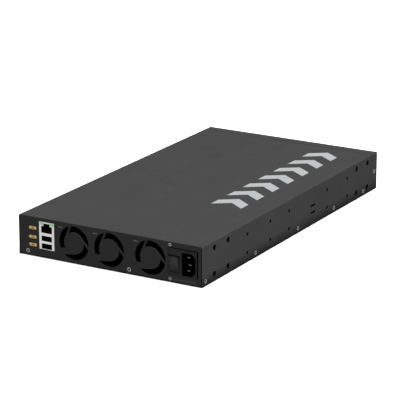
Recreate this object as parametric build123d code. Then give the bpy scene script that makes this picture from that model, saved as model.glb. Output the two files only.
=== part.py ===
from build123d import *

import os
from math import cos, radians, sin, tan

# Half-width rackmount network switch, one rack unit high, as separate parts.
# The frame is in millimetres. +Z is up, the port side faces -Y and the fan and power side faces +Y.
# The origin is at the middle of the footprint, on the surface that the switch stands on.

# Enclosure
WIDTH = 220.0
DEPTH = 400.0
HEIGHT = 43.2
SHEET = 1.0
COVER_BEND = 1.6
SEAM = 0.2
PROUD = 0.4
FRONT = -DEPTH / 2
REAR = DEPTH / 2
SIDE = WIDTH / 2
COVER_IN = SIDE - SHEET
TRAY_IN = COVER_IN - SHEET
TRAY_TOP = 41.0
FRONT_STRIP = 13.0
FRONT_EDGE_R = 0.9
FRONT_EDGE_DROP = 3.0
FLANGE_Z = (7.0, 39.0)
TRAY_LIP = 6.0
TAB_WIDTH = 7.4
TAB_TOP = 9.5
# How far a cutting tool reaches past the sheet that it cuts
REACH = 1.0

# Holes in both sides of the enclosure, as (y, z)
EAR_YS = (-175.0, -147.0, 147.0, 175.0)
EAR_ZS = (8.0, 36.0)
EAR_COVER_R = 3.1
EAR_TRAY_R = 2.0
SMALL_YS = (-124.0, -74.0, 14.7, 56.5, 106.5)
SMALL_ZS = (10.8, 30.8)
SMALL_COVER_R = 2.0
SMALL_TRAY_R = 1.75
SLOT_Y = -40.5
SLOT_ZS = (14.2, 22.2)
SLOT_LENGTH = 11.0
SLOT_HEIGHT = 2.0
SLOT_COVER_GROW = 0.2

# Countersunk screws that hold the enclosure together
SCREW_HEAD_R = 2.3
SCREW_HEAD_H = 0.9
SCREW_R = 1.5
SCREW_LENGTH = 6.0
SCREW_SOCKET = 0.55
SCREW_SOCKET_DEPTH = 1.0
SINK_CLEARANCE = 0.05
HOLE_CLEARANCE = 0.1
SINK_DEPTH = 4.0
PAN_HEAD_R = 2.4
PAN_HEAD_H = 1.6
PAN_HEAD_ROUND = 0.6
CROSS_LENGTH = 3.0
CROSS_WIDTH = 0.7
CROSS_DEPTH = 0.8
FAN_SCREW_LENGTH = 6.0
BOARD_SCREW_LENGTH = 4.5
SIDE_SCREW_YS = (-165.6, -91.6, -6.2, 88.7, 192.5)
SIDE_SCREW_Z = 5.3
FRONT_SCREW_Y = -192.6
FRONT_SCREW_Z = 21.6
REAR_SCREW_XS = (99.1, -24.6)
REAR_SCREW_Z = 5.2
BRACKET_SCREW_X = -73.0
BRACKET_SCREW_ZS = (3.9, 39.9)
BRACKET_SCREW_HEAD_R = 1.7
BRACKET_SCREW_LENGTH = 4.0

# Fans, behind the rear panel
FAN_XS = (42.2, -0.4, -49.5)
FAN_Z = 22.0
FAN_SIZE = 40.0
FAN_DEPTH = 28.0
FAN_HOLE_PITCH = 32.0
FAN_BORE_R = 18.8
FAN_HUB_R = 11.0
ROTOR_TIP_R = 18.0
FAN_SCREW_HOLE_R = 1.6
FAN_CORNER_R = 2.5
FAN_FLANGE = 4.0
FAN_WAIST = 3.5
FAN_PLATE = 2.5
BEARING_TUBE_R = 3.4
BEARING_TUBE_LENGTH = 22.0
BEARING_BORE_END = 1.5
BEARING_R = 2.0
BEARING_Y = (8.0, -4.0)
STATOR_Y = (10.0, -6.0)
STATOR_RING_R = 5.2
STATOR_ARM = (8.6, 2.6)
STATOR_SHOE = (1.0, 5.6)
STATOR_STEP = 3.0
ROTOR_Y = (2.5, -4.0)
ROTOR_WALL = 1.2
ROTOR_FLOOR = 1.6
SHAFT_END = 4.5
SHAFT_R = 1.0
SHAFT_CLEARANCE = 0.04
BLADES = 7
BLADE_PITCH = 38.0
BLADE_CHORD = 17.0
BLADE_CAMBER = 2.2
BLADE_THICKNESS = 1.1
BLADE_MARGIN = 0.5
FAN_BRACKET_FOOT = 9.0
GRILLE_R = 18.3
GRILLE_HUB_R = 11.8
# Slim struts that leave the hub along its tangent: direction in degrees, distance from the axis, width
SLIM_STRUTS = ((113.0, 10.8, 1.9), (226.0, 10.6, 1.9))
# The broad strut's outline about the axis, as (x, z), its lower edge tangent to the hub
BROAD_STRUT = ((21.0, -7.8), (8.0, -6.2), (0.0, -8.0), (-1.64, -11.69), (21.0, -14.87))
FAN_REAR = REAR - SHEET
FAN_FRONT = FAN_REAR - FAN_DEPTH
BRACKET_Y = FAN_FRONT - SHEET

# Power inlet and rocker switch, on their own bracket behind a window in the rear panel
WINDOW_X = (-105.6, -70.2)
WINDOW_Z = (7.6, 37.5)
WINDOW_R = 0.8
# The bracket's L-shaped relief slot, along the window's top and its outer side
RELIEF_X = (-106.2, -103.0)
RELIEF_Z = (35.9, 38.0)
RELIEF_END_X = -71.4
RELIEF_END_Z = 8.4
INLET_X = -93.95
INLET_Z = 21.1
INLET_OPENING = (16.0, 24.2)
INLET_CHAMFER = 4.2
INLET_CORNER_R = 1.4
INLET_RIM = 0.6
INLET_DEPTH = 22.0
INLET_CAVITY = 17.0
INLET_TAIL = 5.0
PIN_SIZE = (4.0, 2.0)
PIN_TIP_CHAMFER = 0.6
# The pins' places about the inlet's middle: the current pins, then the earth pin
CURRENT_PIN_X = 1.6
CURRENT_PIN_Z = 7.0
EARTH_PIN_X = -1.1
PIN_RECESS = 3.2
EARTH_PIN_RECESS = 1.4
ROCKER_X = -77.2
ROCKER_Z = 19.4
ROCKER_PIVOT_Y = 196.8
ROCKER_TILT = 8.0
ROCKER_WIDTH = 11.5
ROCKER_HALF = 8.5
ROCKER_APEX = 1.4
ROCKER_CROWN = 0.9
ROCKER_SIDE = 3.0
ROCKER_BACK = 3.6
ROCKER_BACK_HALF = 2.6
ROCKER_EDGE_R = 0.4
ROCKER_FRAME = (13.0, 19.2)
ROCKER_OPENING = (12.0, 18.0)
ROCKER_FACE = REAR - SHEET + 0.2
ROCKER_DEPTH = 20.0
ROCKER_FLOOR = 8.0
TRUNNION_R = 0.9
TERMINAL_SIZE = (4.8, 0.8)
TERMINAL_HALF_PITCH = 4.5

# Main board
BOARD_BOTTOM = 8.0
BOARD_THICKNESS = 1.6
BOARD_TOP = BOARD_BOTTOM + BOARD_THICKNESS
BOARD_FRONT = -196.0
BOARD_BACK = -10.0
BOARD_ARM_X = 64.0
BOARD_SIDE = 106.0
STANDOFFS = (
    (-100, -176), (-31.5, -140), (34.8, -140), (100, -188), (-100, -105), (100, -105), (-100, -20),
    (-20, -20), (50, -20), (100, -20), (70, 72), (102, 72), (70, 160), (102, 165),
)
STANDOFF_R = 2.6
ARM_CORNER_R = 5.0

# What is soldered to the main board
SWITCH_CHIP = (0, -95, 45, 2.6)
SWITCH_SINK_SIZE = 74
SWITCH_SINK_TOP = 38
SWITCH_SINK_FINS = 19
PROCESSOR_CHIP = (86, 48, 24, 2.0)
PROCESSOR_SINK_SIZE = 34
PROCESSOR_SINK_TOP = 28
PROCESSOR_SINK_FINS = 9
CHIP_BEVEL = 0.3
SINK_BASE = 3.5
FIN_THICKNESS = 1.2
MEMORY_FIRST = (76, 20)
MEMORY_SIZE = (7.4, 12, 1.1)
MEMORY_PITCH = 8.4
RETIMER_FIRST = (-90, -126)
RETIMER_SIZE = (9, 1.2)
RETIMER_PITCH = 21.6
CONVERTER_XS = [start + i * 12 for start in (-84, 60) for i in range(4)]
INDUCTOR_Y = -60
INDUCTOR_SIZE = (9.5, 6.5)
CAPACITOR_Y = -44
CAPACITOR_SIZE = (3.2, 9)

# Port cages on the front
CAGE_WALL = 0.5
CAGE_BACK = -150.0
SFP_OPENING = (13.75, 9.0)
SFP_PITCH = SFP_OPENING[0] + CAGE_WALL
SFP_COLUMNS = 4
SFP_XS = (-62.0, 2.0)
QSFP_OPENING = (18.9, 9.2)
QSFP_COLUMNS = 2
QSFP_X = 58.5
QSFP_BACK = -136.0
CAGE_SPLIT = 2.6
CONNECTOR_LENGTH = 6.0
CONNECTOR_SLOT = 1.3
LIGHT_PIPE_Z = 33.6
LIGHT_PIPE_BAR = (10.0, 13.0)
LIGHT_PIPE_HEIGHT = 2.4
LIGHT_PEG_R = 0.75
LIGHT_SPACING = 2.4
VENT_R = 1.6
VENT_PITCH = 4.3
# The block of vents beside the cages, and the row of vents above them
VENT_BLOCK = (85.5, 8.5)
VENT_BLOCK_COLUMNS = 5
VENT_BLOCK_ROWS = 7
VENT_BLOCK_SQUEEZE = 0.9
VENT_ROW = (-93.0, 38.4)
VENT_ROW_COUNT = 38
RESET_X = -100.0
RESET_Z = 15.0
RESET_R = 1.25
RESET_PLAY = 0.25
RESET_COLLAR_R = 1.9
RESET_SWITCH_Y = (5.4, 10.4)
RESET_SWITCH_WIDTH = 6.0

# Service port stack on the rear: one 8-pin jack above two USB sockets
STACK_X = 75.15
STACK_WIDTH = 18.6
STACK_TOP = 39.4
STACK_DEPTH = 26.0
STACK_WALL = 0.5
JACK_WIDTH = 13.2
JACK_Z = (27.6, 34.9)
JACK_KEY_WIDTH = 7.4
JACK_KEY_TOP = 37.7
USB_WIDTH = 12.6
USB_HEIGHT = 5.6
USB_ZS = (13.15, 21.5)
USB_TONGUE = (-0.1, 1.7)
JACK_DEPTH = 16.0
USB_DEPTH = 14.0
JACK_CONTACTS = 8
JACK_CONTACT_PITCH = 1.1
USB_CONTACTS = 4
USB_CONTACT_PITCH = 2.3
LED_SIZE = (4.2, 2.4)
LED_INSET = (1.0, 0.9)
LED_DEPTH = 4.0
CONTACT_RISE = 2.0

# Timing ports, in a column of three
TIMING_X = 92.5
TIMING_ZS = (12.7, 21.2, 31.0)
TIMING_SIZE = (9.2, 3.2)
TIMING_CORNER_R = 1.3
TIMING_WALL = 0.4
TIMING_DEPTH = 8.0
TIMING_PROUD = 0.3
TIMING_BACK = REAR + TIMING_PROUD - TIMING_DEPTH
TIMING_TONGUE = (7.6, 1.6)
TIMING_BOARD_TOP = 37.0

# Power supply board
PSU_X = (-106.0, -56.0)
PSU_Y = (10.0, 160.0)
PSU_BOTTOM = BOARD_BOTTOM
PSU_TOP = PSU_BOTTOM + BOARD_THICKNESS
PSU_MIDDLE = sum(PSU_X) / 2
TRANSFORMER_Y = 70.0
TRANSFORMER_CORE = (30.0, 26.0, 24.0)
TRANSFORMER_WINDING = (20.0, 34.0, 18.0)
WINDING_CORNER_R = 4.0
CHOKE_Y = 129.0
CHOKE_R = 8.5
CHOKE_WIRE_R = 3.6
CHOKE_CARRIER = (20.0, 11.0, 1.5)
PSU_SINK_INSET = 2.5
PSU_SINK_Y = 84.0
PSU_SINK_SIZE = (2.0, 76.0, 28.0)
PSU_FINS = 9
PSU_FIN_PITCH = 8.0
PSU_FIN_BOTTOM = 12.0
# Upright capacitors as (x about the board's middle, y, radius, height)
PSU_CAPACITORS = (
    (-9.6, 110, 9, 30), (9.6, 110, 9, 30), (-15, 40, 4, 20), (-5, 40, 4, 20), (5, 40, 4, 20), (15, 40, 4, 20),
)

# Wiring
SOCKET_HEIGHT = 7.0
WIRE_Z = PSU_TOP + SOCKET_HEIGHT / 2
AC_SOCKET_Y = (138.0, 144.0)
AC_WIRE_D = 2.0
DC_WIRE_D = 1.8
DC_WIRES = 4
DC_WIRE_PITCH = 4.2
DC_FIRST_X = -92.0
PSU_SOCKET_Y = (16.0, 24.0)
BOARD_SOCKET_Y = (-28.0, -20.0)
FAN_LEAD_D = 2.4
FAN_LEAD_Z = 3.4
FAN_LEAD_XS = (FAN_XS[0] - 12, FAN_XS[1] - 12, FAN_XS[2] + 12)
FAN_SOCKET_Y = (-22.0, -14.0)


def block(x, y, z):
    """A box from three (low, high) pairs."""
    size = [high - low for low, high in (x, y, z)]
    middle = [(high + low) / 2 for low, high in (x, y, z)]
    return Pos(*middle) * Box(*size)


def span(middle, length):
    """The (low, high) pair of a length about its middle."""
    return (middle - length / 2, middle + length / 2)


def rod_x(radius, x, y, z):
    """A cylinder along X, from x[0] to x[1]."""
    return Pos((x[0] + x[1]) / 2, y, z) * Rot(0, 90, 0) * Cylinder(radius, x[1] - x[0])


def rod_y(radius, x, y, z):
    """A cylinder along Y, from y[0] to y[1]."""
    return Pos(x, (y[0] + y[1]) / 2, z) * Rot(90, 0, 0) * Cylinder(radius, y[1] - y[0])


def rod_z(radius, x, y, z):
    """A cylinder along Z, from z[0] to z[1]."""
    return Pos(x, y, (z[0] + z[1]) / 2) * Cylinder(radius, z[1] - z[0])


def joined(shapes):
    """One shape made by adding the shapes up."""
    shapes = list(shapes)
    total = shapes[0]
    for shape in shapes[1:]:
        total = total + shape
    return total


def group(shapes):
    """Separate solids under one name."""
    return Compound(children=[solid for shape in shapes for solid in shape.solids()])


def save(shape, name):
    """Writes one sub-part."""
    export_step(shape, f"parts/{name}.step")


# Fasteners


def countersunk_screw(head_r=SCREW_HEAD_R, length=SCREW_LENGTH):
    """A flat-head screw along -Z, its head's face at z 0, with a hexagon socket."""
    head = Pos(0, 0, -SCREW_HEAD_H / 2) * Cone(SCREW_R, head_r, SCREW_HEAD_H)
    shank = rod_z(SCREW_R, 0, 0, (-length, -SCREW_HEAD_H))
    socket = Pos(0, 0, -SCREW_SOCKET_DEPTH) * extrude(RegularPolygon(SCREW_SOCKET * head_r, 6), amount=2)
    return head + shank - socket


def countersink(head_r=SCREW_HEAD_R):
    """The hole that such a screw sits in, with a little room around it."""
    wide_r = head_r + SINK_CLEARANCE
    sink = Pos(0, 0, -SCREW_HEAD_H / 2) * Cone(SCREW_R + SINK_CLEARANCE, wide_r, SCREW_HEAD_H)
    hole = rod_z(SCREW_R + HOLE_CLEARANCE, 0, 0, (-SINK_DEPTH, -SCREW_HEAD_H / 2))
    return sink + hole + rod_z(wide_r, 0, 0, (0, REACH))


def side_places(ys, z):
    """Places on both side faces, with +Z pointing out of the enclosure."""
    right = [Pos(SIDE, y, z) * Rot(0, 90, 0) for y in ys]
    left = [Pos(-SIDE, y, z) * Rot(0, -90, 0) for y in ys]
    return right + left


def cover_screw_places():
    """Where the cover is screwed to the tray and to the front panel."""
    return side_places(SIDE_SCREW_YS, SIDE_SCREW_Z) + side_places([FRONT_SCREW_Y], FRONT_SCREW_Z)


def rear_screw_places():
    """Where the rear panel is screwed to the tray."""
    return [Pos(x, REAR, REAR_SCREW_Z) * Rot(-90, 0, 0) for x in REAR_SCREW_XS]


def bracket_screw_places():
    """Where the inlet bracket is screwed to the rear panel."""
    return [Pos(BRACKET_SCREW_X, REAR, z) * Rot(-90, 0, 0) for z in BRACKET_SCREW_ZS]


# Enclosure


def side_openings(ear_r, small_r, slot_grow=0.0):
    """Everything that is punched through both side walls."""
    through = (-SIDE - REACH, SIDE + REACH)
    ears = [rod_x(ear_r, through, y, z) for y in EAR_YS for z in EAR_ZS]
    small = [rod_x(small_r, through, y, z) for y in SMALL_YS for z in SMALL_ZS]
    straight = (SLOT_LENGTH - SLOT_HEIGHT) / 2
    height = SLOT_HEIGHT + 2 * slot_grow
    slots = []
    for z in SLOT_ZS:
        slots.append(block(through, span(SLOT_Y, 2 * straight), span(z, height)))
        slots += [rod_x(height / 2, through, SLOT_Y + s * straight, z) for s in (-1, 1)]
    return joined(ears + small + slots)


def top_cover():
    """The bent cover: top and both sides, with its top cut short behind the front panel's strip."""
    outer = block((-SIDE, SIDE), (FRONT, REAR), (0, HEIGHT))
    outer = fillet(outer.edges().filter_by(Axis.Y).group_by(Axis.Z)[-1], COVER_BEND)
    inner = block((-COVER_IN, COVER_IN), (FRONT - REACH, REAR + REACH), (-REACH, HEIGHT - SHEET))
    inner = fillet(inner.edges().filter_by(Axis.Y).group_by(Axis.Z)[-1], COVER_BEND - SHEET)
    notch_x = SIDE - COVER_BEND
    notch_z = (HEIGHT - FRONT_EDGE_DROP, HEIGHT + REACH)
    notch = block((-notch_x, notch_x), (FRONT - REACH, FRONT + FRONT_STRIP), notch_z)
    sinks = joined(place * countersink() for place in cover_screw_places())
    return outer - inner - notch - side_openings(EAR_COVER_R, SMALL_COVER_R, SLOT_COVER_GROW) - sinks


def base_tray():
    """The tray inside the cover: bottom, full-height sides and two tabs for the rear panel."""
    tray = block((-COVER_IN, COVER_IN), (FRONT + SHEET, REAR - SHEET), (0, TRAY_TOP))
    tray -= block((-TRAY_IN, TRAY_IN), (FRONT, REAR), (SHEET, HEIGHT))
    lip = block((-TRAY_IN, TRAY_IN), (FRONT + SHEET, FRONT + 2 * SHEET), (SHEET, TRAY_LIP))
    tab_y = (REAR - 2 * SHEET, REAR - SHEET)
    tabs = [block(span(x, TAB_WIDTH), tab_y, (SHEET, TAB_TOP)) for x in REAR_SCREW_XS]
    tray = joined([tray, lip, *tabs]) - side_openings(EAR_TRAY_R, SMALL_TRAY_R)
    places = cover_screw_places() + rear_screw_places()
    return tray - joined(place * countersink() for place in places)


def prism(points, y):
    """A bar along Y, from y[0] to y[1], with an outline of straight lines in XZ."""
    outline = make_face(Plane.XZ * Polyline(*points, close=True))
    return Pos(0, y[1], 0) * extrude(outline, amount=y[1] - y[0])


def fan_struts(x, y):
    """The struts that tie a fan's hub to its rim: two slim ones and a broad one, all past the rim."""
    struts = [Pos(x, 0, FAN_Z) * prism(BROAD_STRUT, y)]
    length = GRILLE_R
    for angle, offset, width in SLIM_STRUTS:
        along = (cos(radians(angle)), sin(radians(angle)))
        # The strut's line passes on the right of the axis, looking along its direction from the hub.
        at_x = x + along[0] * length / 2 + along[1] * offset
        at_z = FAN_Z + along[1] * length / 2 - along[0] * offset
        struts.append(Pos(at_x, sum(y) / 2, at_z) * Rot(0, -angle, 0) * Box(length, y[1] - y[0], width))
    return joined(struts)


def fan_grille(x):
    """The three arcs of open grille in front of one fan."""
    depth = (REAR - 2 * SHEET, REAR + SHEET)
    ring = rod_y(GRILLE_R, x, depth, FAN_Z) - rod_y(GRILLE_HUB_R, x, depth, FAN_Z)
    return ring - fan_struts(x, (depth[0] - REACH, depth[1] + REACH))


def rounded_bar(x, y, z, radius):
    """A box from three (low, high) pairs, with its edges along Y rounded."""
    return fillet(block(x, y, z).edges().filter_by(Axis.Y), radius)


def timing_bar(z, y, grow=0.0):
    """A bar of a timing port's outline, grown or shrunk all round."""
    width, height = [size + 2 * grow for size in TIMING_SIZE]
    return rounded_bar(span(TIMING_X, width), y, span(z, height), TIMING_CORNER_R + grow)


def rear_panel():
    """The flat rear panel with its grilles, port openings and window."""
    depth = (REAR - 2 * SHEET, REAR + SHEET)
    panel = block(span(0, 2 * (COVER_IN - SEAM)), (REAR - SHEET, REAR), (SEAM, HEIGHT - SHEET - SEAM))
    for x in FAN_XS:
        panel -= fan_grille(x)
    panel -= block(span(STACK_X, STACK_WIDTH + 0.4), depth, (BOARD_TOP - 0.2, STACK_TOP + 0.2))
    for z in TIMING_ZS:
        panel -= timing_bar(z, depth, 0.1)
    panel -= rounded_bar(WINDOW_X, depth, WINDOW_Z, WINDOW_R)
    panel -= joined(place * countersink() for place in rear_screw_places())
    return panel - joined(place * countersink(BRACKET_SCREW_HEAD_R) for place in bracket_screw_places())


def cage_columns():
    """The x of every port column on the front, SFP first."""
    sfp = [x + (i - (SFP_COLUMNS - 1) / 2) * SFP_PITCH for x in SFP_XS for i in range(SFP_COLUMNS)]
    qsfp_pitch = QSFP_OPENING[0] + CAGE_WALL
    qsfp = [QSFP_X + (i - (QSFP_COLUMNS - 1) / 2) * qsfp_pitch for i in range(QSFP_COLUMNS)]
    return sfp + qsfp


def vent_holes():
    """Staggered round vents beside the cages and one row above them."""
    through = (FRONT - REACH, FRONT + 2 * SHEET)
    holes = []
    for column in range(VENT_BLOCK_COLUMNS):
        x = VENT_BLOCK[0] + column * VENT_PITCH * VENT_BLOCK_SQUEEZE
        for row in range(VENT_BLOCK_ROWS):
            z = VENT_BLOCK[1] + row * VENT_PITCH + (column % 2) * VENT_PITCH / 2
            holes.append(rod_y(VENT_R, x, through, z))
    for column in range(VENT_ROW_COUNT):
        holes.append(rod_y(VENT_R, VENT_ROW[0] + column * VENT_PITCH, through, VENT_ROW[1]))
    return joined(holes)


def front_panel():
    """The front panel: face, top strip and two side flanges, bent from one sheet."""
    half = COVER_IN - SEAM
    face = block((-half, half), (FRONT, FRONT + SHEET), (SEAM, HEIGHT - SHEET - SEAM))
    strip_half = SIDE - COVER_BEND - SEAM
    strip_back = FRONT + FRONT_STRIP - SEAM
    strip = block((-strip_half, strip_half), (FRONT, strip_back), (HEIGHT - SHEET, HEIGHT))
    edge = block((-strip_half, strip_half), (FRONT, FRONT + SHEET), (HEIGHT - FRONT_EDGE_DROP, HEIGHT))
    bend = (strip + edge).edges().filter_by(Axis.X).group_by(Axis.Z)[-1].sort_by(Axis.Y)[0]
    flange_y = (FRONT + SHEET, FRONT + FRONT_STRIP)
    flanges = [block(x, flange_y, FLANGE_Z) for x in ((TRAY_IN - SHEET, TRAY_IN), (-TRAY_IN, -TRAY_IN + SHEET))]
    panel = joined([face, fillet(bend, FRONT_EDGE_R), *flanges])
    through = (FRONT - REACH, FRONT + 2 * SHEET)
    sfp_width = cage_width(SFP_OPENING[0], SFP_COLUMNS) + 0.4
    qsfp_width = cage_width(QSFP_OPENING[0], QSFP_COLUMNS) + 0.4
    for x in SFP_XS:
        panel -= block(span(x, sfp_width), through, cage_span(SFP_OPENING[1], 0.2))
    panel -= block(span(QSFP_X, qsfp_width), through, cage_span(QSFP_OPENING[1], 0.2))
    panel -= joined(rod_y(LIGHT_PEG_R + 0.05, x, through, LIGHT_PIPE_Z) for x in cage_light_xs())
    panel -= rod_y(RESET_R, RESET_X, through, RESET_Z)
    panel -= vent_holes()
    return panel - joined(place * countersink() for place in side_places([FRONT_SCREW_Y], FRONT_SCREW_Z))


# Power inlet and switch


def inlet_bar(y, grow=0.0):
    """A bar of the inlet's outline: two corners cut on the side away from the rocker, two rounded."""
    half_x = INLET_OPENING[0] / 2 + grow
    half_z = INLET_OPENING[1] / 2 + grow
    cut = INLET_CHAMFER
    points = (
        (half_x, half_z), (-half_x + cut, half_z), (-half_x, half_z - cut), (-half_x, -half_z + cut),
        (-half_x + cut, -half_z), (half_x, -half_z),
    )
    bar = Pos(INLET_X, 0, INLET_Z) * prism(points, y)
    square_corners = bar.edges().filter_by(Axis.Y).group_by(Axis.X)[-1]
    return fillet(square_corners, INLET_CORNER_R)


def relief_slot(y):
    """The bracket's L-shaped relief slot."""
    top = block((RELIEF_X[0], RELIEF_END_X), y, RELIEF_Z)
    return top + block(RELIEF_X, y, (RELIEF_END_Z, RELIEF_Z[1]))


def inlet_bracket():
    """The plate behind the rear panel that carries the inlet and the rocker."""
    plate_y = (REAR - 2 * SHEET, REAR - SHEET)
    plate = block((-TRAY_IN + 0.1, WINDOW_X[1] + 0.5), plate_y, (SHEET + 0.2, TRAY_TOP + 0.8))
    through = (REAR - 3 * SHEET, REAR)
    plate -= inlet_bar(through, INLET_RIM)
    plate -= block(span(ROCKER_X, ROCKER_FRAME[0]), through, span(ROCKER_Z, ROCKER_FRAME[1]))
    plate -= relief_slot(through)
    hole = rod_z(SCREW_R + HOLE_CLEARANCE, 0, 0, (-SINK_DEPTH, 0))
    holes = [place * hole for place in bracket_screw_places()]
    return plate - joined(holes)


def ac_inlet_housing():
    """The inlet's moulded housing, a deep cup with a thin rim."""
    face = REAR - SHEET
    body = inlet_bar((face - INLET_DEPTH, face), INLET_RIM)
    body -= inlet_bar((face - INLET_CAVITY, face + REACH))
    return body - joined(inlet_pin_slots())


def inlet_tail_y():
    """Where the inlet's solder tails end, inside the enclosure."""
    return REAR - SHEET - INLET_DEPTH - INLET_TAIL


def inlet_pin_places():
    """The (x, z) of the two current pins and the earth pin."""
    current_x = INLET_X + CURRENT_PIN_X
    live = (current_x, INLET_Z + CURRENT_PIN_Z)
    neutral = (current_x, INLET_Z - CURRENT_PIN_Z)
    return live, neutral, (INLET_X + EARTH_PIN_X, INLET_Z)


def inlet_pin_slots():
    """Where the pins pass through the housing's back wall."""
    wall = (REAR - SHEET - INLET_DEPTH - REACH, REAR - SHEET - INLET_CAVITY + REACH)
    return [block(span(x, PIN_SIZE[0]), wall, span(z, PIN_SIZE[1])) for x, z in inlet_pin_places()]


def ac_inlet_pins():
    """Three flat pins with solder tails behind the housing. The earth pin reaches furthest out."""
    pins = []
    for (x, z), recess in zip(inlet_pin_places(), (PIN_RECESS, PIN_RECESS, EARTH_PIN_RECESS)):
        pin = block(span(x, PIN_SIZE[0]), (inlet_tail_y(), REAR - SHEET - recess), span(z, PIN_SIZE[1]))
        tip_edges = pin.edges().group_by(Axis.Y)[-1]
        pins.append(chamfer(tip_edges, PIN_TIP_CHAMFER))
    return group(pins)


def rocker_frame():
    """The rocker's rectangular frame with the two trunnion holes."""
    y = (ROCKER_FACE - ROCKER_DEPTH, ROCKER_FACE)
    frame = block(span(ROCKER_X, ROCKER_FRAME[0]), y, span(ROCKER_Z, ROCKER_FRAME[1]))
    inside_y = (y[0] + ROCKER_FLOOR, y[1] + REACH)
    inside = block(span(ROCKER_X, ROCKER_OPENING[0]), inside_y, span(ROCKER_Z, ROCKER_OPENING[1]))
    trunnions = rod_x(TRUNNION_R + 0.05, span(ROCKER_X, ROCKER_FRAME[0] + REACH), ROCKER_PIVOT_Y, ROCKER_Z)
    return frame - inside - trunnions


def power_rocker():
    """The crowned rocker with its trunnions, its upper half pressed in."""
    tip_y = ROCKER_APEX - ROCKER_CROWN
    side_y = tip_y - ROCKER_SIDE
    crown = ThreePointArc((tip_y, -ROCKER_HALF), (ROCKER_APEX, 0), (tip_y, ROCKER_HALF))
    back = Polyline(
        (tip_y, ROCKER_HALF), (side_y, ROCKER_HALF), (-ROCKER_BACK, ROCKER_BACK_HALF),
        (-ROCKER_BACK, -ROCKER_BACK_HALF), (side_y, -ROCKER_HALF), (tip_y, -ROCKER_HALF),
    )
    body = extrude(make_face(Plane.YZ * (crown + back)), amount=ROCKER_WIDTH / 2, both=True)
    tip_edges = body.edges().filter_by(Axis.X).filter_by_position(Axis.Y, tip_y - 0.1, tip_y + 0.1)
    body = fillet(tip_edges, ROCKER_EDGE_R)
    pins = rod_x(TRUNNION_R, span(0, ROCKER_FRAME[0] - 0.2), 0, 0)
    return Pos(ROCKER_X, ROCKER_PIVOT_Y, ROCKER_Z) * Rot(ROCKER_TILT, 0, 0) * (body + pins)


def rocker_terminal_zs():
    """The heights of the rocker's lower and upper terminal."""
    return (ROCKER_Z - TERMINAL_HALF_PITCH, ROCKER_Z + TERMINAL_HALF_PITCH)


def rocker_terminals():
    """Two tab terminals on the back of the rocker's frame."""
    y = (inlet_tail_y(), ROCKER_FACE - ROCKER_DEPTH)
    width, thickness = TERMINAL_SIZE
    return group(block(span(ROCKER_X, width), y, span(z, thickness)) for z in rocker_terminal_zs())


# Fans


def fan_frame(x):
    """A square fan frame with its bore, corner holes, motor plate, struts and bearing tube."""
    half = FAN_SIZE / 2
    y = (FAN_FRONT, FAN_REAR)
    body = block((x - half, x + half), y, (FAN_Z - half, FAN_Z + half))
    body = fillet(body.edges().filter_by(Axis.Y), FAN_CORNER_R)
    through = (y[0] - REACH, y[1] + REACH)
    body -= rod_y(FAN_BORE_R, x, through, FAN_Z)
    waist_y = (y[0] + FAN_FLANGE, y[1] - FAN_FLANGE)
    for sx in (-1, 1):
        for sz in (-1, 1):
            at = (x + sx * FAN_HOLE_PITCH / 2, FAN_Z + sz * FAN_HOLE_PITCH / 2)
            body -= rod_y(FAN_SCREW_HOLE_R, at[0], through, at[1])
            # The frame is relieved between its two flanges.
            body -= block(span(x + sx * half, 2 * FAN_WAIST), waist_y, span(FAN_Z + sz * half, 2 * FAN_WAIST))
    plate_y = (y[1] - FAN_PLATE, y[1])
    plate = rod_y(FAN_HUB_R, x, plate_y, FAN_Z)
    plate += fan_struts(x, plate_y) & rod_y(FAN_BORE_R + 0.6, x, plate_y, FAN_Z)
    tube_start = y[1] - BEARING_TUBE_LENGTH
    tube = rod_y(BEARING_TUBE_R, x, (tube_start, y[1]), FAN_Z)
    bore = rod_y(BEARING_R, x, (tube_start - REACH, y[1] - BEARING_BORE_END), FAN_Z)
    return body + plate + tube - bore


def fan_bearings():
    """A sleeve bearing pressed into each fan's tube."""
    sleeves = []
    for x in FAN_XS:
        y = (FAN_FRONT + BEARING_Y[0], FAN_REAR + BEARING_Y[1])
        bore = rod_y(SHAFT_R + SHAFT_CLEARANCE, x, (y[0] - REACH, y[1] + REACH), FAN_Z)
        sleeves.append(rod_y(BEARING_R, x, y, FAN_Z) - bore)
    return group(sleeves)


def fan_stators():
    """The wound stator around each fan's bearing tube: four poles on a ring."""
    y = (FAN_FRONT + STATOR_Y[0], FAN_REAR + STATOR_Y[1])
    depth = y[1] - y[0] - STATOR_STEP
    arm = Pos(-STATOR_ARM[0] / 2, 0, 0) * Box(STATOR_ARM[0], depth, STATOR_ARM[1])
    shoe = Pos(-STATOR_ARM[0] + 0.6, 0, 0) * Box(STATOR_SHOE[0], depth, STATOR_SHOE[1])
    stators = []
    for x in FAN_XS:
        ring = rod_y(STATOR_RING_R, x, y, FAN_Z)
        for quarter in range(4):
            ring += Pos(x, sum(y) / 2, FAN_Z) * Rot(0, 90 * quarter, 0) * (arm + shoe)
        stators.append(ring - rod_y(BEARING_TUBE_R, x, (y[0] - REACH, y[1] + REACH), FAN_Z))
    return group(stators)


def fan_blade():
    """One cambered blade about the Y axis, pointing along +Z before it is trimmed."""
    outer = BLADE_CHORD / 2
    inner = outer - 0.3
    top = ThreePointArc((-outer, 0), (0, BLADE_CAMBER), (outer, 0))
    below = -BLADE_THICKNESS
    bottom = ThreePointArc((-inner, below), (0, BLADE_CAMBER + below), (inner, below))
    section = make_face([top, Line(top @ 1, bottom @ 1), bottom, Line(bottom @ 0, top @ 0)])
    root = FAN_HUB_R - 2.2
    return Pos(0, 0, root) * Rot(0, 0, BLADE_PITCH) * extrude(section, amount=FAN_SIZE / 2 - root + REACH)


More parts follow.
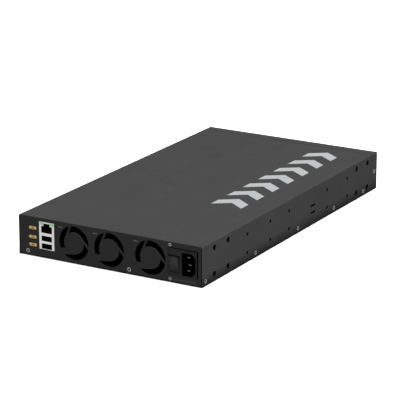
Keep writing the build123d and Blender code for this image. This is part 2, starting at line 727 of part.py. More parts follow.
def fan_rotor(x):
    """The rotor: hub cup, shaft and blades."""
    y = (FAN_FRONT + ROTOR_Y[0], FAN_REAR + ROTOR_Y[1])
    hollow = rod_y(FAN_HUB_R - ROTOR_WALL, x, (y[0] + ROTOR_FLOOR, y[1] + REACH), FAN_Z)
    cup = rod_y(FAN_HUB_R, x, y, FAN_Z) - hollow
    shaft = rod_y(SHAFT_R, x, (y[0] + 1, FAN_REAR - SHAFT_END), FAN_Z)
    annulus = rod_y(ROTOR_TIP_R, x, (y[0] + BLADE_MARGIN, y[1] - BLADE_MARGIN), FAN_Z)
    annulus -= rod_y(FAN_HUB_R - ROTOR_WALL / 2, x, y, FAN_Z)
    blade = fan_blade()
    middle = Pos(x, sum(y) / 2, FAN_Z)
    blades = [middle * Rot(0, i * 360 / BLADES, 0) * blade & annulus for i in range(BLADES)]
    return joined([cup + shaft, *blades])


def fan_bracket():
    """The plate in front of the fans that clamps them to the tray."""
    x = (min(FAN_XS) - FAN_SIZE / 2, max(FAN_XS) + FAN_SIZE / 2)
    plate = block(x, (BRACKET_Y, FAN_FRONT), (SHEET, FAN_Z + FAN_SIZE / 2))
    foot = block(x, (BRACKET_Y - FAN_BRACKET_FOOT, BRACKET_Y), (SHEET, 2 * SHEET))
    bracket = plate + foot
    through = (BRACKET_Y - REACH, FAN_FRONT + REACH)
    for fan_x, lead_x in zip(FAN_XS, FAN_LEAD_XS):
        bracket -= rod_y(FAN_BORE_R, fan_x, through, FAN_Z)
        bracket -= rod_y(FAN_LEAD_D / 2 + HOLE_CLEARANCE, lead_x, through, FAN_LEAD_Z)
    hole = rod_y(FAN_SCREW_HOLE_R, 0, (-REACH, SHEET + REACH), 0)
    return bracket - joined(place * hole for place in fan_screw_places())


def fan_screw_places():
    """Where the bracket is screwed to the corners of each fan."""
    half = FAN_HOLE_PITCH / 2
    corners = [(x + sx * half, FAN_Z + sz * half) for x in FAN_XS for sx in (-1, 1) for sz in (-1, 1)]
    return [Pos(x, BRACKET_Y, z) for x, z in corners]


def pan_screw(length):
    """A pan-head screw along +Y whose head ends at y 0, with a cross recess."""
    head = rod_y(PAN_HEAD_R, 0, (-PAN_HEAD_H, 0), 0)
    head = fillet(head.edges().sort_by(Axis.Y)[0], PAN_HEAD_ROUND)
    shank = rod_y(SCREW_R, 0, (0, length), 0)
    cross_y = (-PAN_HEAD_H - REACH, CROSS_DEPTH - PAN_HEAD_H)
    slot = block(span(0, CROSS_LENGTH), cross_y, span(0, CROSS_WIDTH))
    return head + shank - slot - Rot(0, 90, 0) * slot


def fan_screws():
    """The screws that hold the fans to their bracket."""
    return group(place * pan_screw(FAN_SCREW_LENGTH) for place in fan_screw_places())


# Main board and what is soldered to it


def main_board():
    """The main board, with an arm that runs back to the service ports."""
    z = (BOARD_BOTTOM, BOARD_TOP)
    board = block((-BOARD_SIDE, BOARD_SIDE), (BOARD_FRONT, BOARD_BACK), z)
    board += block((BOARD_ARM_X, BOARD_SIDE), (BOARD_BACK - 1, REAR - 4), z)
    arm_x = (BOARD_ARM_X - 0.1, BOARD_ARM_X + 0.1)
    arm_corners = board.edges().filter_by(Axis.Z).filter_by_position(Axis.X, *arm_x)
    board = fillet(arm_corners.sort_by(Axis.Y)[0], ARM_CORNER_R)
    through = (z[0] - REACH, z[1] + REACH)
    return board - joined(rod_z(SCREW_R + HOLE_CLEARANCE, x, y, through) for x, y in STANDOFFS)


def psu_standoffs_xy():
    """The places of the power supply board's four standoffs."""
    return [(x, y) for x in (PSU_X[0] + 4, PSU_X[1] - 4) for y in (PSU_Y[0] + 5, PSU_Y[1] - 5)]


def standoff_places():
    """Every standoff, under the main board and the power supply board."""
    return list(STANDOFFS) + psu_standoffs_xy()


def board_standoffs():
    """Round threaded standoffs pressed into the tray."""
    made = []
    for x, y in standoff_places():
        pillar = rod_z(STANDOFF_R, x, y, (SHEET, BOARD_BOTTOM))
        made.append(pillar - rod_z(SCREW_R, x, y, (2 * SHEET, BOARD_BOTTOM + REACH)))
    return group(made)


def board_screws():
    """The screws that hold both boards down."""
    screw = Rot(-90, 0, 0) * pan_screw(BOARD_SCREW_LENGTH)
    return group(Pos(x, y, BOARD_TOP) * screw for x, y in standoff_places())


def chip(x, y, size, height):
    """A square package on the main board with bevelled top edges."""
    body = block(span(x, size), span(y, size), (BOARD_TOP, BOARD_TOP + height))
    return chamfer(body.edges().group_by(Axis.Z)[-1], CHIP_BEVEL)


def heatsink(cooled, size, top_z, fins):
    """A base plate on a chip, with fins along Y, in line with the airflow."""
    x, y, _, chip_height = cooled
    base_z = BOARD_TOP + chip_height
    made = [block(span(x, size), span(y, size), (base_z, base_z + SINK_BASE))]
    pitch = (size - FIN_THICKNESS) / (fins - 1)
    first = x - size / 2 + FIN_THICKNESS / 2
    fin_z = (base_z + SINK_BASE / 2, top_z)
    for i in range(fins):
        made.append(block(span(first + i * pitch, FIN_THICKNESS), span(y, size), fin_z))
    return joined(made)


def memory_chips():
    """Memory packages in a row beside the processor."""
    width, length, height = MEMORY_SIZE
    x, y = MEMORY_FIRST
    z = (BOARD_TOP, BOARD_TOP + height)
    return group(block(span(x + i * MEMORY_PITCH, width), span(y, length), z) for i in range(4))


def retimer_chips():
    """Small signal packages between the cages and the switch chip."""
    x, y = RETIMER_FIRST
    return group(chip(x + i * RETIMER_PITCH, y, *RETIMER_SIZE) for i in range(8))


def board_inductors():
    """Power inductors of the board's own converters."""
    size, height = INDUCTOR_SIZE
    made = []
    for x in CONVERTER_XS:
        body = block(span(x, size), span(INDUCTOR_Y, size), (BOARD_TOP, BOARD_TOP + height))
        made.append(fillet(body.edges().filter_by(Axis.Z), 1.5))
    return group(made)


def board_capacitors():
    """Round polymer capacitors beside the inductors."""
    radius, height = CAPACITOR_SIZE
    made = []
    for x in CONVERTER_XS:
        can = rod_z(radius, x, CAPACITOR_Y, (BOARD_TOP, BOARD_TOP + height))
        made.append(fillet(can.edges().group_by(Axis.Z)[-1], 0.6))
    return group(made)


def cage_width(opening, columns):
    """The width over a cage's outer walls."""
    return columns * opening + (columns + 1) * CAGE_WALL


def cage_levels(opening):
    """The z spans of the lower and the upper row of ports."""
    lower = (BOARD_TOP + CAGE_WALL, BOARD_TOP + CAGE_WALL + opening)
    return lower, (lower[1] + CAGE_SPLIT, lower[1] + CAGE_SPLIT + opening)


def cage_span(opening, grow=0.0):
    """The z span over a cage's outer walls."""
    return (BOARD_TOP - grow, cage_levels(opening)[1][1] + CAGE_WALL + grow)


def cage(x, opening, columns, back):
    """A stacked cage: its folded shell, and the dividers and centre webs set into it."""
    width = cage_width(opening[0], columns)
    y = (FRONT - PROUD, back)
    z = cage_span(opening[1])
    lower, upper = cage_levels(opening[1])
    shell = block(span(x, width), y, z)
    shell -= block(span(x, width - 2 * CAGE_WALL), (y[0] - 1, y[1] - CAGE_WALL), (lower[0], upper[1]))
    pieces = [shell]
    left = x - width / 2
    inner_y = (y[0], y[1] - CAGE_WALL)
    for i in range(1, columns):
        wall_x = left + i * (opening[0] + CAGE_WALL)
        pieces.append(block((wall_x, wall_x + CAGE_WALL), inner_y, (lower[0], upper[1])))
    for i in range(columns):
        column_x = left + CAGE_WALL + i * (opening[0] + CAGE_WALL)
        pieces.append(block((column_x, column_x + opening[0]), inner_y, (lower[1], upper[0])))
    return group(pieces)


def cage_connectors():
    """The edge connector at the back of every port in the cages."""
    made = []
    columns = cage_columns()
    for i, x in enumerate(columns):
        is_sfp = i < len(SFP_XS) * SFP_COLUMNS
        opening = SFP_OPENING if is_sfp else QSFP_OPENING
        back = CAGE_BACK if is_sfp else QSFP_BACK
        for low, high in cage_levels(opening[1]):
            body_y = (back - CAGE_WALL - CONNECTOR_LENGTH, back - CAGE_WALL)
            body = block(span(x, opening[0] - 2.4), body_y, (low, high - 1.5))
            slot_y = (body_y[0] - REACH, body_y[0] + CONNECTOR_LENGTH / 2)
            slot = block(span(x, opening[0] - 4), slot_y, span((low + high) / 2 - 0.6, CONNECTOR_SLOT))
            made.append(body - slot)
    return group(made)


def cage_light_xs():
    """The x of the light pipes: two over each port column."""
    return [x + s * LIGHT_SPACING for x in cage_columns() for s in (-1, 1)]


def light_pipes():
    """Clear light pipes: one bar along the cages with a peg to the panel for every light."""
    xs = cage_light_xs()
    bar_y = (FRONT + LIGHT_PIPE_BAR[0], FRONT + LIGHT_PIPE_BAR[1])
    bar = block((min(xs) - 2, max(xs) + 2), bar_y, span(LIGHT_PIPE_Z, LIGHT_PIPE_HEIGHT))
    pegs = [rod_y(LIGHT_PEG_R, x, (FRONT - 0.1, bar_y[0] + 0.5), LIGHT_PIPE_Z) for x in xs]
    return joined([bar, *pegs])


def reset_button():
    """The recessed reset button's plunger, with a collar behind the panel."""
    tip = rod_y(RESET_R - RESET_PLAY, RESET_X, (FRONT + 0.3, FRONT + 8), RESET_Z)
    collar = rod_y(RESET_COLLAR_R, RESET_X, (FRONT + 1.3, FRONT + 2.3), RESET_Z)
    return tip + collar


def reset_switch():
    """The small switch body that the reset plunger slides in, on its riser from the board."""
    y = (FRONT + RESET_SWITCH_Y[0], FRONT + RESET_SWITCH_Y[1])
    body = block(span(RESET_X, RESET_SWITCH_WIDTH), y, (BOARD_TOP, RESET_Z + RESET_SWITCH_WIDTH / 2))
    return body - rod_y(RESET_R - RESET_PLAY + 0.05, RESET_X, (y[0] - REACH, FRONT + 9), RESET_Z)


# Service ports on the rear


def jack_opening(y):
    """The 8-pin jack's opening, with the key for the latch above it."""
    body = block(span(STACK_X, JACK_WIDTH), y, JACK_Z)
    return body + block(span(STACK_X, JACK_KEY_WIDTH), y, (JACK_Z[1] - 1, JACK_KEY_TOP))


def usb_opening(z, y):
    """One USB socket's opening."""
    return block(span(STACK_X, USB_WIDTH), y, span(z, USB_HEIGHT))


def led_windows(y):
    """The two light windows in the stack's top corners."""
    z = (STACK_TOP - LED_INSET[1] - LED_SIZE[1], STACK_TOP - LED_INSET[1])
    middle = STACK_WIDTH / 2 - LED_INSET[0] - LED_SIZE[0] / 2
    return [block(span(STACK_X + s * middle, LED_SIZE[0]), y, z) for s in (-1, 1)]


def io_stack_shell():
    """The stack's plated metal can."""
    y = (REAR + PROUD - STACK_DEPTH, REAR + PROUD)
    can = block(span(STACK_X, STACK_WIDTH), y, (BOARD_TOP, STACK_TOP))
    inner_x = span(STACK_X, STACK_WIDTH - 2 * STACK_WALL)
    can -= block(inner_x, (y[0] - REACH, y[1] - STACK_WALL), (BOARD_TOP - REACH, STACK_TOP - STACK_WALL))
    mouth = (y[1] - REACH, y[1] + REACH)
    openings = [jack_opening(mouth), *led_windows(mouth)]
    openings += [usb_opening(z, mouth) for z in USB_ZS]
    return can - joined(openings)


def io_stack_body():
    """The stack's moulded insert with its three sockets and the USB tongues."""
    y = (REAR + PROUD - STACK_DEPTH + 1, REAR + PROUD - STACK_WALL)
    body = block(span(STACK_X, STACK_WIDTH - 2 * STACK_WALL), y, (BOARD_TOP, STACK_TOP - STACK_WALL))
    body -= jack_opening((y[1] - JACK_DEPTH, y[1] + REACH))
    for z in USB_ZS:
        body -= usb_opening(z, (y[1] - USB_DEPTH, y[1] + REACH))
        tongue_z = [z + side for side in USB_TONGUE]
        body += block(span(STACK_X, USB_WIDTH - 1.4), (y[1] - USB_DEPTH - 0.5, y[1] - 0.8), tongue_z)
    return body - joined(led_windows((y[1] - LED_DEPTH, y[1] + REACH)))


def io_stack_contacts():
    """The jack's eight spring contacts and the four contacts on each USB tongue."""
    face = REAR + PROUD - STACK_WALL
    made = []
    low = JACK_Z[0]
    for i in range(JACK_CONTACTS):
        x = STACK_X + (i - (JACK_CONTACTS - 1) / 2) * JACK_CONTACT_PITCH
        outline = Polyline(
            (face - 3.0, low), (face - 14, low + CONTACT_RISE), (face - 14, low + CONTACT_RISE - 0.4),
            (face - 5.2, low), close=True,
        )
        made.append(Pos(x, 0, 0) * extrude(make_face(Plane.YZ * outline), amount=0.25, both=True))
    for z in USB_ZS:
        low = z + USB_TONGUE[0]
        for i in range(USB_CONTACTS):
            x = STACK_X + (i - (USB_CONTACTS - 1) / 2) * USB_CONTACT_PITCH
            made.append(block(span(x, 1.0), (face - 12, face - 1.2), (low - 0.2, low)))
    return group(made)


def io_stack_leds():
    """The green light windows."""
    return group(led_windows((REAR + PROUD - STACK_WALL - LED_DEPTH, REAR + PROUD - 0.1)))


def timing_port(z):
    """One gold-plated timing port: a round-cornered shell with a back wall."""
    y = (TIMING_BACK, REAR + TIMING_PROUD)
    return timing_bar(z, y) - timing_bar(z, (y[0] + 1, y[1] + REACH), -TIMING_WALL)


def timing_port_tongues():
    """The gold-plated contact tongue inside each timing port."""
    y = (TIMING_BACK + 1, REAR + TIMING_PROUD - 0.2)
    return group(block(span(TIMING_X, TIMING_TONGUE[0]), y, span(z, TIMING_TONGUE[1])) for z in TIMING_ZS)


def timing_board():
    """The upright board that carries the timing ports."""
    x = (STACK_X + STACK_WIDTH / 2 + 0.6, COVER_IN - 5)
    return block(x, (TIMING_BACK - BOARD_THICKNESS, TIMING_BACK), (BOARD_TOP, TIMING_BOARD_TOP))


# Power supply


def psu_board():
    """The power supply's board."""
    board = block(PSU_X, PSU_Y, (PSU_BOTTOM, PSU_TOP))
    through = (PSU_BOTTOM - REACH, PSU_TOP + REACH)
    return board - joined(rod_z(SCREW_R + HOLE_CLEARANCE, x, y, through) for x, y in psu_standoffs_xy())


def psu_transformer():
    """A transformer: ferrite core with its winding showing on both sides."""
    width, length, height = TRANSFORMER_CORE
    core = block(span(PSU_MIDDLE, width), span(TRANSFORMER_Y, length), (PSU_TOP, PSU_TOP + height))
    wide, long, tall = TRANSFORMER_WINDING
    winding_z = span(PSU_TOP + height / 2, tall)
    winding = block(span(PSU_MIDDLE, wide), span(TRANSFORMER_Y, long), winding_z)
    return core + fillet(winding.edges().filter_by(Axis.Z), WINDING_CORNER_R)


def psu_capacitors():
    """Two upright mains capacitors, and four output capacitors at the board's front end."""
    made = []
    for x, y, radius, height in PSU_CAPACITORS:
        can = rod_z(radius, PSU_MIDDLE + x, y, (PSU_TOP, PSU_TOP + height))
        made.append(fillet(can.edges().group_by(Axis.Z)[-1], 0.12 * radius))
    return group(made)


def psu_heatsinks():
    """Two finned plates that cool the power transistors."""
    thickness, length, height = PSU_SINK_SIZE
    fin_z = (PSU_TOP + PSU_FIN_BOTTOM, PSU_TOP + height)
    made = []
    for x, inward in ((PSU_X[0] + PSU_SINK_INSET, 1), (PSU_X[1] - PSU_SINK_INSET, -1)):
        plate = block(span(x, thickness), span(PSU_SINK_Y, length), (PSU_TOP, PSU_TOP + height))
        for i in range(PSU_FINS):
            fin_y = PSU_SINK_Y + (i - (PSU_FINS - 1) / 2) * PSU_FIN_PITCH
            plate += block(span(x + inward * thickness, 2.5), span(fin_y, FIN_THICKNESS), fin_z)
        made.append(plate)
    return group(made)


def psu_filter_choke():
    """The mains filter choke: a wound ring standing in its carrier on the board."""
    ring_z = PSU_TOP + CHOKE_R + CHOKE_WIRE_R + 0.5
    ring = Pos(PSU_MIDDLE, CHOKE_Y, ring_z) * Rot(90, 0, 0) * Torus(CHOKE_R, CHOKE_WIRE_R)
    width, length, height = CHOKE_CARRIER
    carrier = block(span(PSU_MIDDLE, width), span(CHOKE_Y, length), (PSU_TOP, PSU_TOP + height))
    return group([ring, carrier - ring])


# Wiring


def wire(name, points, diameter):
    """A round wire along straight runs joined by tangent arcs, each as large as its two runs allow."""
    stops = [Vector(*point) for point in points]
    runs = [after - before for before, after in zip(stops, stops[1:])]
    radii = []
    for before, after in zip(runs, runs[1:]):
        turn = before.get_angle(after)
        radii.append(0.45 * min(before.length, after.length) / tan(radians(turn) / 2))
    print(name, "bend radii", [round(radius, 1) for radius in radii])
    path = FilletPolyline(*points, radius=radii)
    section = Plane(origin=path @ 0, z_dir=path % 0) * Circle(diameter / 2)
    return sweep(section, path=path)


def ac_leads():
    """The mains leads: inlet to rocker, and rocker, neutral and earth to the power supply board."""
    tail = inlet_tail_y()
    (live_x, live_z), (neutral_x, neutral_z), (earth_x, earth_z) = inlet_pin_places()
    low_z, high_z = rocker_terminal_zs()
    end = AC_SOCKET_Y[1]
    routes = {
        "live": [
            (live_x, tail, live_z), (live_x, tail - 14.6, live_z),
            (ROCKER_X, tail - 14.6, high_z), (ROCKER_X, tail, high_z),
        ],
        "switched live": [
            (ROCKER_X, tail, low_z), (ROCKER_X, tail - 7, low_z),
            (ROCKER_X - 10, end + 9, WIRE_Z), (ROCKER_X - 10, end, WIRE_Z),
        ],
        "neutral": [
            (neutral_x, tail, neutral_z), (neutral_x, tail - 9, neutral_z),
            (neutral_x - 0.6, end + 9, WIRE_Z), (neutral_x - 0.6, end, WIRE_Z),
        ],
        "earth": [
            (earth_x, tail, earth_z), (earth_x, tail - 9, earth_z),
            (earth_x - 0.8, end + 9, WIRE_Z), (earth_x - 0.8, end, WIRE_Z),
        ],
    }
    return group(wire(name, points, AC_WIRE_D) for name, points in routes.items())


def dc_harness():
    """Supply wires from the power supply board to the main board, in a low hump."""
    made = []
    for i in range(DC_WIRES):
        x = DC_FIRST_X + i * DC_WIRE_PITCH
        points = [
            (x, PSU_SOCKET_Y[0], WIRE_Z), (x, 7, WIRE_Z), (x, -2, WIRE_Z + 3.6),
            (x, -11, WIRE_Z), (x, BOARD_SOCKET_Y[1], WIRE_Z),
        ]
        made.append(wire("supply", points, DC_WIRE_D))
    return group(made)


def fan_lead_end(start_x):
    """Where a fan's lead reaches its socket."""
    return start_x + 4


def fan_leads():
    """Each fan's lead, along the tray and up over the back edge of the main board."""
    made = []
    for x in FAN_LEAD_XS:
        end_x = fan_lead_end(x)
        points = [
            (x, FAN_FRONT, FAN_LEAD_Z), (x, 151, FAN_LEAD_Z), (x + 5, 118, FAN_LEAD_Z),
            (x + 1, 80, FAN_LEAD_Z), (end_x, 44, FAN_LEAD_Z), (end_x + 1, 16, FAN_LEAD_Z),
            (end_x, 0, WIRE_Z), (end_x, FAN_SOCKET_Y[1], WIRE_Z),
        ]
        made.append(wire("fan", points, FAN_LEAD_D))
    return group(made)


def wire_sockets():
    """The moulded sockets that the wires plug into, on both boards."""
    z = (PSU_TOP, PSU_TOP + SOCKET_HEIGHT)
    supply_x = (DC_FIRST_X - 4, DC_FIRST_X + (DC_WIRES - 1) * DC_WIRE_PITCH + 4)
    made = [block(supply_x, PSU_SOCKET_Y, z), block(supply_x, BOARD_SOCKET_Y, z)]
    made.append(block((-99, -83), AC_SOCKET_Y, z))
    made += [block(span(fan_lead_end(x), 8), FAN_SOCKET_Y, z) for x in FAN_LEAD_XS]
    return group(made)


def main():
    os.makedirs("parts", exist_ok=True)
    save(top_cover(), "top_cover")
    save(base_tray(), "base_tray")
    save(rear_panel(), "rear_panel")
    save(front_panel(), "front_panel")
    save(group(place * countersunk_screw() for place in cover_screw_places()), "cover_screws")
    save(group(place * countersunk_screw() for place in rear_screw_places()), "rear_panel_screws")
    bracket_screw = countersunk_screw(BRACKET_SCREW_HEAD_R, BRACKET_SCREW_LENGTH)
    save(group(place * bracket_screw for place in bracket_screw_places()), "inlet_bracket_screws")
    save(inlet_bracket(), "inlet_bracket")
    save(ac_inlet_housing(), "ac_inlet_housing")
    save(ac_inlet_pins(), "ac_inlet_pins")
    save(rocker_frame(), "rocker_frame")
    save(power_rocker(), "power_rocker")
    save(rocker_terminals(), "rocker_terminals")
    for number, x in enumerate(FAN_XS, 1):
        save(fan_frame(x), f"fan_{number}_frame")
        save(fan_rotor(x), f"fan_{number}_rotor")
    save(fan_bearings(), "fan_bearings")
    save(fan_stators(), "fan_stators")
    save(fan_bracket(), "fan_bracket")
    save(fan_screws(), "fan_screws")
    save(main_board(), "main_board")
    save(board_standoffs(), "board_standoffs")
    save(board_screws(), "board_screws")
    save(chip(*SWITCH_CHIP), "switch_chip")
    save(heatsink(SWITCH_CHIP, SWITCH_SINK_SIZE, SWITCH_SINK_TOP, SWITCH_SINK_FINS), "switch_heatsink")
    save(chip(*PROCESSOR_CHIP), "processor_chip")
    save(heatsink(PROCESSOR_CHIP, PROCESSOR_SINK_SIZE, PROCESSOR_SINK_TOP, PROCESSOR_SINK_FINS), "processor_heatsink")
    save(memory_chips(), "memory_chips")
    save(retimer_chips(), "retimer_chips")
    save(board_inductors(), "board_inductors")
    save(board_capacitors(), "board_capacitors")
    save(cage(SFP_XS[0], SFP_OPENING, SFP_COLUMNS, CAGE_BACK), "sfp_cage_left")
    save(cage(SFP_XS[1], SFP_OPENING, SFP_COLUMNS, CAGE_BACK), "sfp_cage_right")
    save(cage(QSFP_X, QSFP_OPENING, QSFP_COLUMNS, QSFP_BACK), "qsfp_cage")
    save(cage_connectors(), "cage_connectors")
    save(light_pipes(), "light_pipes")
    save(reset_button(), "reset_button")
    save(reset_switch(), "reset_switch")
    save(io_stack_shell(), "io_stack_shell")
    save(io_stack_body(), "io_stack_body")
    save(io_stack_contacts(), "io_stack_contacts")
    save(io_stack_leds(), "io_stack_leds")
    for number, z in enumerate(TIMING_ZS, 1):
        save(timing_port(z), f"timing_port_{number}")
    save(timing_port_tongues(), "timing_port_tongues")
    save(timing_board(), "timing_board")
    save(psu_board(), "psu_board")
    save(psu_transformer(), "psu_transformer")
    save(psu_capacitors(), "psu_capacitors")
    save(psu_heatsinks(), "psu_heatsinks")
    save(psu_filter_choke(), "psu_filter_choke")
    save(wire_sockets(), "wire_sockets")
    save(ac_leads(), "ac_leads")
    save(dc_harness(), "dc_harness")
    save(fan_leads(), "fan_leads")


main()
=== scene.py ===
"""The looks of a half-width rackmount network switch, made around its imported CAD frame.

Everything is in metres, Z up. The rear panel, with the fans and the power inlet, faces +Y, and the
front panel, with the port cages, faces -Y. Object coordinates are the frame's own, because every
object sits at the origin, so the shaders below work in real sizes.
"""

import math

import bmesh
import bpy
from mathutils import Matrix, Vector


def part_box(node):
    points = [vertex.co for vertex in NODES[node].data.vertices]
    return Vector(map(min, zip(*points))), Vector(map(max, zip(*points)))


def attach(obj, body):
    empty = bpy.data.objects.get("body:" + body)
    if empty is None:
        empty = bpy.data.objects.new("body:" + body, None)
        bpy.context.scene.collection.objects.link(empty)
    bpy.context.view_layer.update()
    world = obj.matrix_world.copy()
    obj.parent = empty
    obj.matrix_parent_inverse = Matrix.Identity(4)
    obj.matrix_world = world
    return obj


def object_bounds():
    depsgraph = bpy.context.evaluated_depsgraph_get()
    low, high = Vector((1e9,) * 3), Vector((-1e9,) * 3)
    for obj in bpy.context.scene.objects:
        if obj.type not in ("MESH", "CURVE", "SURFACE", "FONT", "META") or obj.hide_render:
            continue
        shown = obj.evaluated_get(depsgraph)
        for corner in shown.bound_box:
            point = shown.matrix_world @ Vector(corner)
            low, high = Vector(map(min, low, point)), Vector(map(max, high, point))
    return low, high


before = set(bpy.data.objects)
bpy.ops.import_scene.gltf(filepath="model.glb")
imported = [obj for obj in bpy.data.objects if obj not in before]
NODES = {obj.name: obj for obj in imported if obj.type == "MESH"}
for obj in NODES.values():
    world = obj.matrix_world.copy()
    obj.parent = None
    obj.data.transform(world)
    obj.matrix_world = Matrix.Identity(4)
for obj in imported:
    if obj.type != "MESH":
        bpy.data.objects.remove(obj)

CAD_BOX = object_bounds()
MM = 0.001


# Camera, lights and floor

CAMERA_AZIMUTH = math.radians(210.06)
CAMERA_ELEVATION = math.radians(17.13)
CAMERA_DISTANCE = 2.398
CAMERA_SLIDE = -0.00696
CAMERA_RISE = 0.02087
CAMERA_LENS = 196.9

FLOOR_SIZE = 30.0
FLOOR_WHITE = 0.86
FLOOR_BOUNCE = 0.12
WORLD_WHITE = 1.0
WORLD_LIGHT = 0.30
MIRRORED_SHARE = 0.28

# Name, place, size and power
LAMPS = (
    ("overhead", (0.0, -0.4, 3.2), 3.2, 200),
    ("key", (-2.8, 2.0, 1.35), 1.6, 200),
)
LAMP_TARGET = Vector((0, 0, 0))


def make_camera():
    """A long lens behind, above and to one side of the switch."""
    azimuth, elevation = CAMERA_AZIMUTH, CAMERA_ELEVATION
    back = Vector((
        math.sin(azimuth) * math.cos(elevation),
        -math.cos(azimuth) * math.cos(elevation),
        math.sin(elevation),
    ))
    right = Vector((math.cos(azimuth), math.sin(azimuth), 0))
    up = back.cross(right)
    camera = bpy.data.objects.new("camera", bpy.data.cameras.new("camera"))
    bpy.context.scene.collection.objects.link(camera)
    camera.location = back * CAMERA_DISTANCE + right * CAMERA_SLIDE + up * CAMERA_RISE
    camera.rotation_mode = "QUATERNION"
    camera.rotation_quaternion = Matrix((right, up, back)).transposed().to_quaternion()
    camera.data.sensor_width = 36
    camera.data.lens = CAMERA_LENS
    camera.data.clip_start, camera.data.clip_end = 0.05, 100
    bpy.context.scene.camera = camera


def make_lamp(name, place, size, power):
    """A soft square area light that faces the target."""
    data = bpy.data.lights.new(name, "AREA")
    data.size, data.energy = size, power
    lamp = bpy.data.objects.new(name, data)
    bpy.context.scene.collection.objects.link(lamp)
    lamp.location = place
    lamp.rotation_mode = "QUATERNION"
    lamp.rotation_quaternion = (LAMP_TARGET - Vector(place)).to_track_quat("-Z", "Y")


def seen_or_lighting(tree, seen, lighting):
    """Mixes what shows, straight or mirrored in metal, with what lights the rest of the scene."""
    mix = tree.nodes.new("ShaderNodeMixShader")
    path = tree.nodes.new("ShaderNodeLightPath")
    share = tree.nodes.new("ShaderNodeMath")
    share.operation, share.use_clamp = "MULTIPLY_ADD", True
    share.inputs[1].default_value = MIRRORED_SHARE
    tree.links.new(path.outputs["Is Glossy Ray"], share.inputs[0])
    tree.links.new(path.outputs["Is Camera Ray"], share.inputs[2])
    tree.links.new(share.outputs[0], mix.inputs[0])
    tree.links.new(lighting.outputs[0], mix.inputs[1])
    tree.links.new(seen.outputs[0], mix.inputs[2])
    return mix.outputs[0]


def make_world():
    """A plain white surround that lights the scene softly."""
    world = bpy.data.worlds.new("studio")
    bpy.context.scene.world = world
    world.use_nodes = True
    tree = world.node_tree
    tree.nodes.clear()
    shaders = []
    for value in (WORLD_WHITE, WORLD_LIGHT):
        shader = tree.nodes.new("ShaderNodeBackground")
        shader.inputs["Color"].default_value = (value, value, value, 1)
        shaders.append(shader)
    output = tree.nodes.new("ShaderNodeOutputWorld")
    tree.links.new(seen_or_lighting(tree, *shaders), output.inputs[0])


def make_floor():
    """The pale floor, which bounces on less light than its white would."""
    mesh = bpy.data.meshes.new("floor")
    half = FLOOR_SIZE / 2
    corners = [(-half, -half, 0), (half, -half, 0), (half, half, 0), (-half, half, 0)]
    mesh.from_pydata(corners, [], [(0, 1, 2, 3)])
    floor = bpy.data.objects.new("floor", mesh)
    bpy.context.scene.collection.objects.link(floor)
    material = bpy.data.materials.new("floor")
    material.use_nodes = True
    tree = material.node_tree
    tree.nodes.clear()
    shaders = []
    for value in (FLOOR_WHITE, FLOOR_BOUNCE):
        shader = tree.nodes.new("ShaderNodeBsdfDiffuse")
        shader.inputs["Color"].default_value = (value, value, value, 1)
        shaders.append(shader)
    output = tree.nodes.new("ShaderNodeOutputMaterial")
    tree.links.new(seen_or_lighting(tree, *shaders), output.inputs[0])
    mesh.materials.append(material)


def make_studio():
    """The camera, the world, the floor and two soft lamps."""
    make_camera()
    make_world()
    make_floor()
    for lamp in LAMPS:
        make_lamp(*lamp)
    bpy.context.scene.view_settings.view_transform = "Standard"


# Shader building


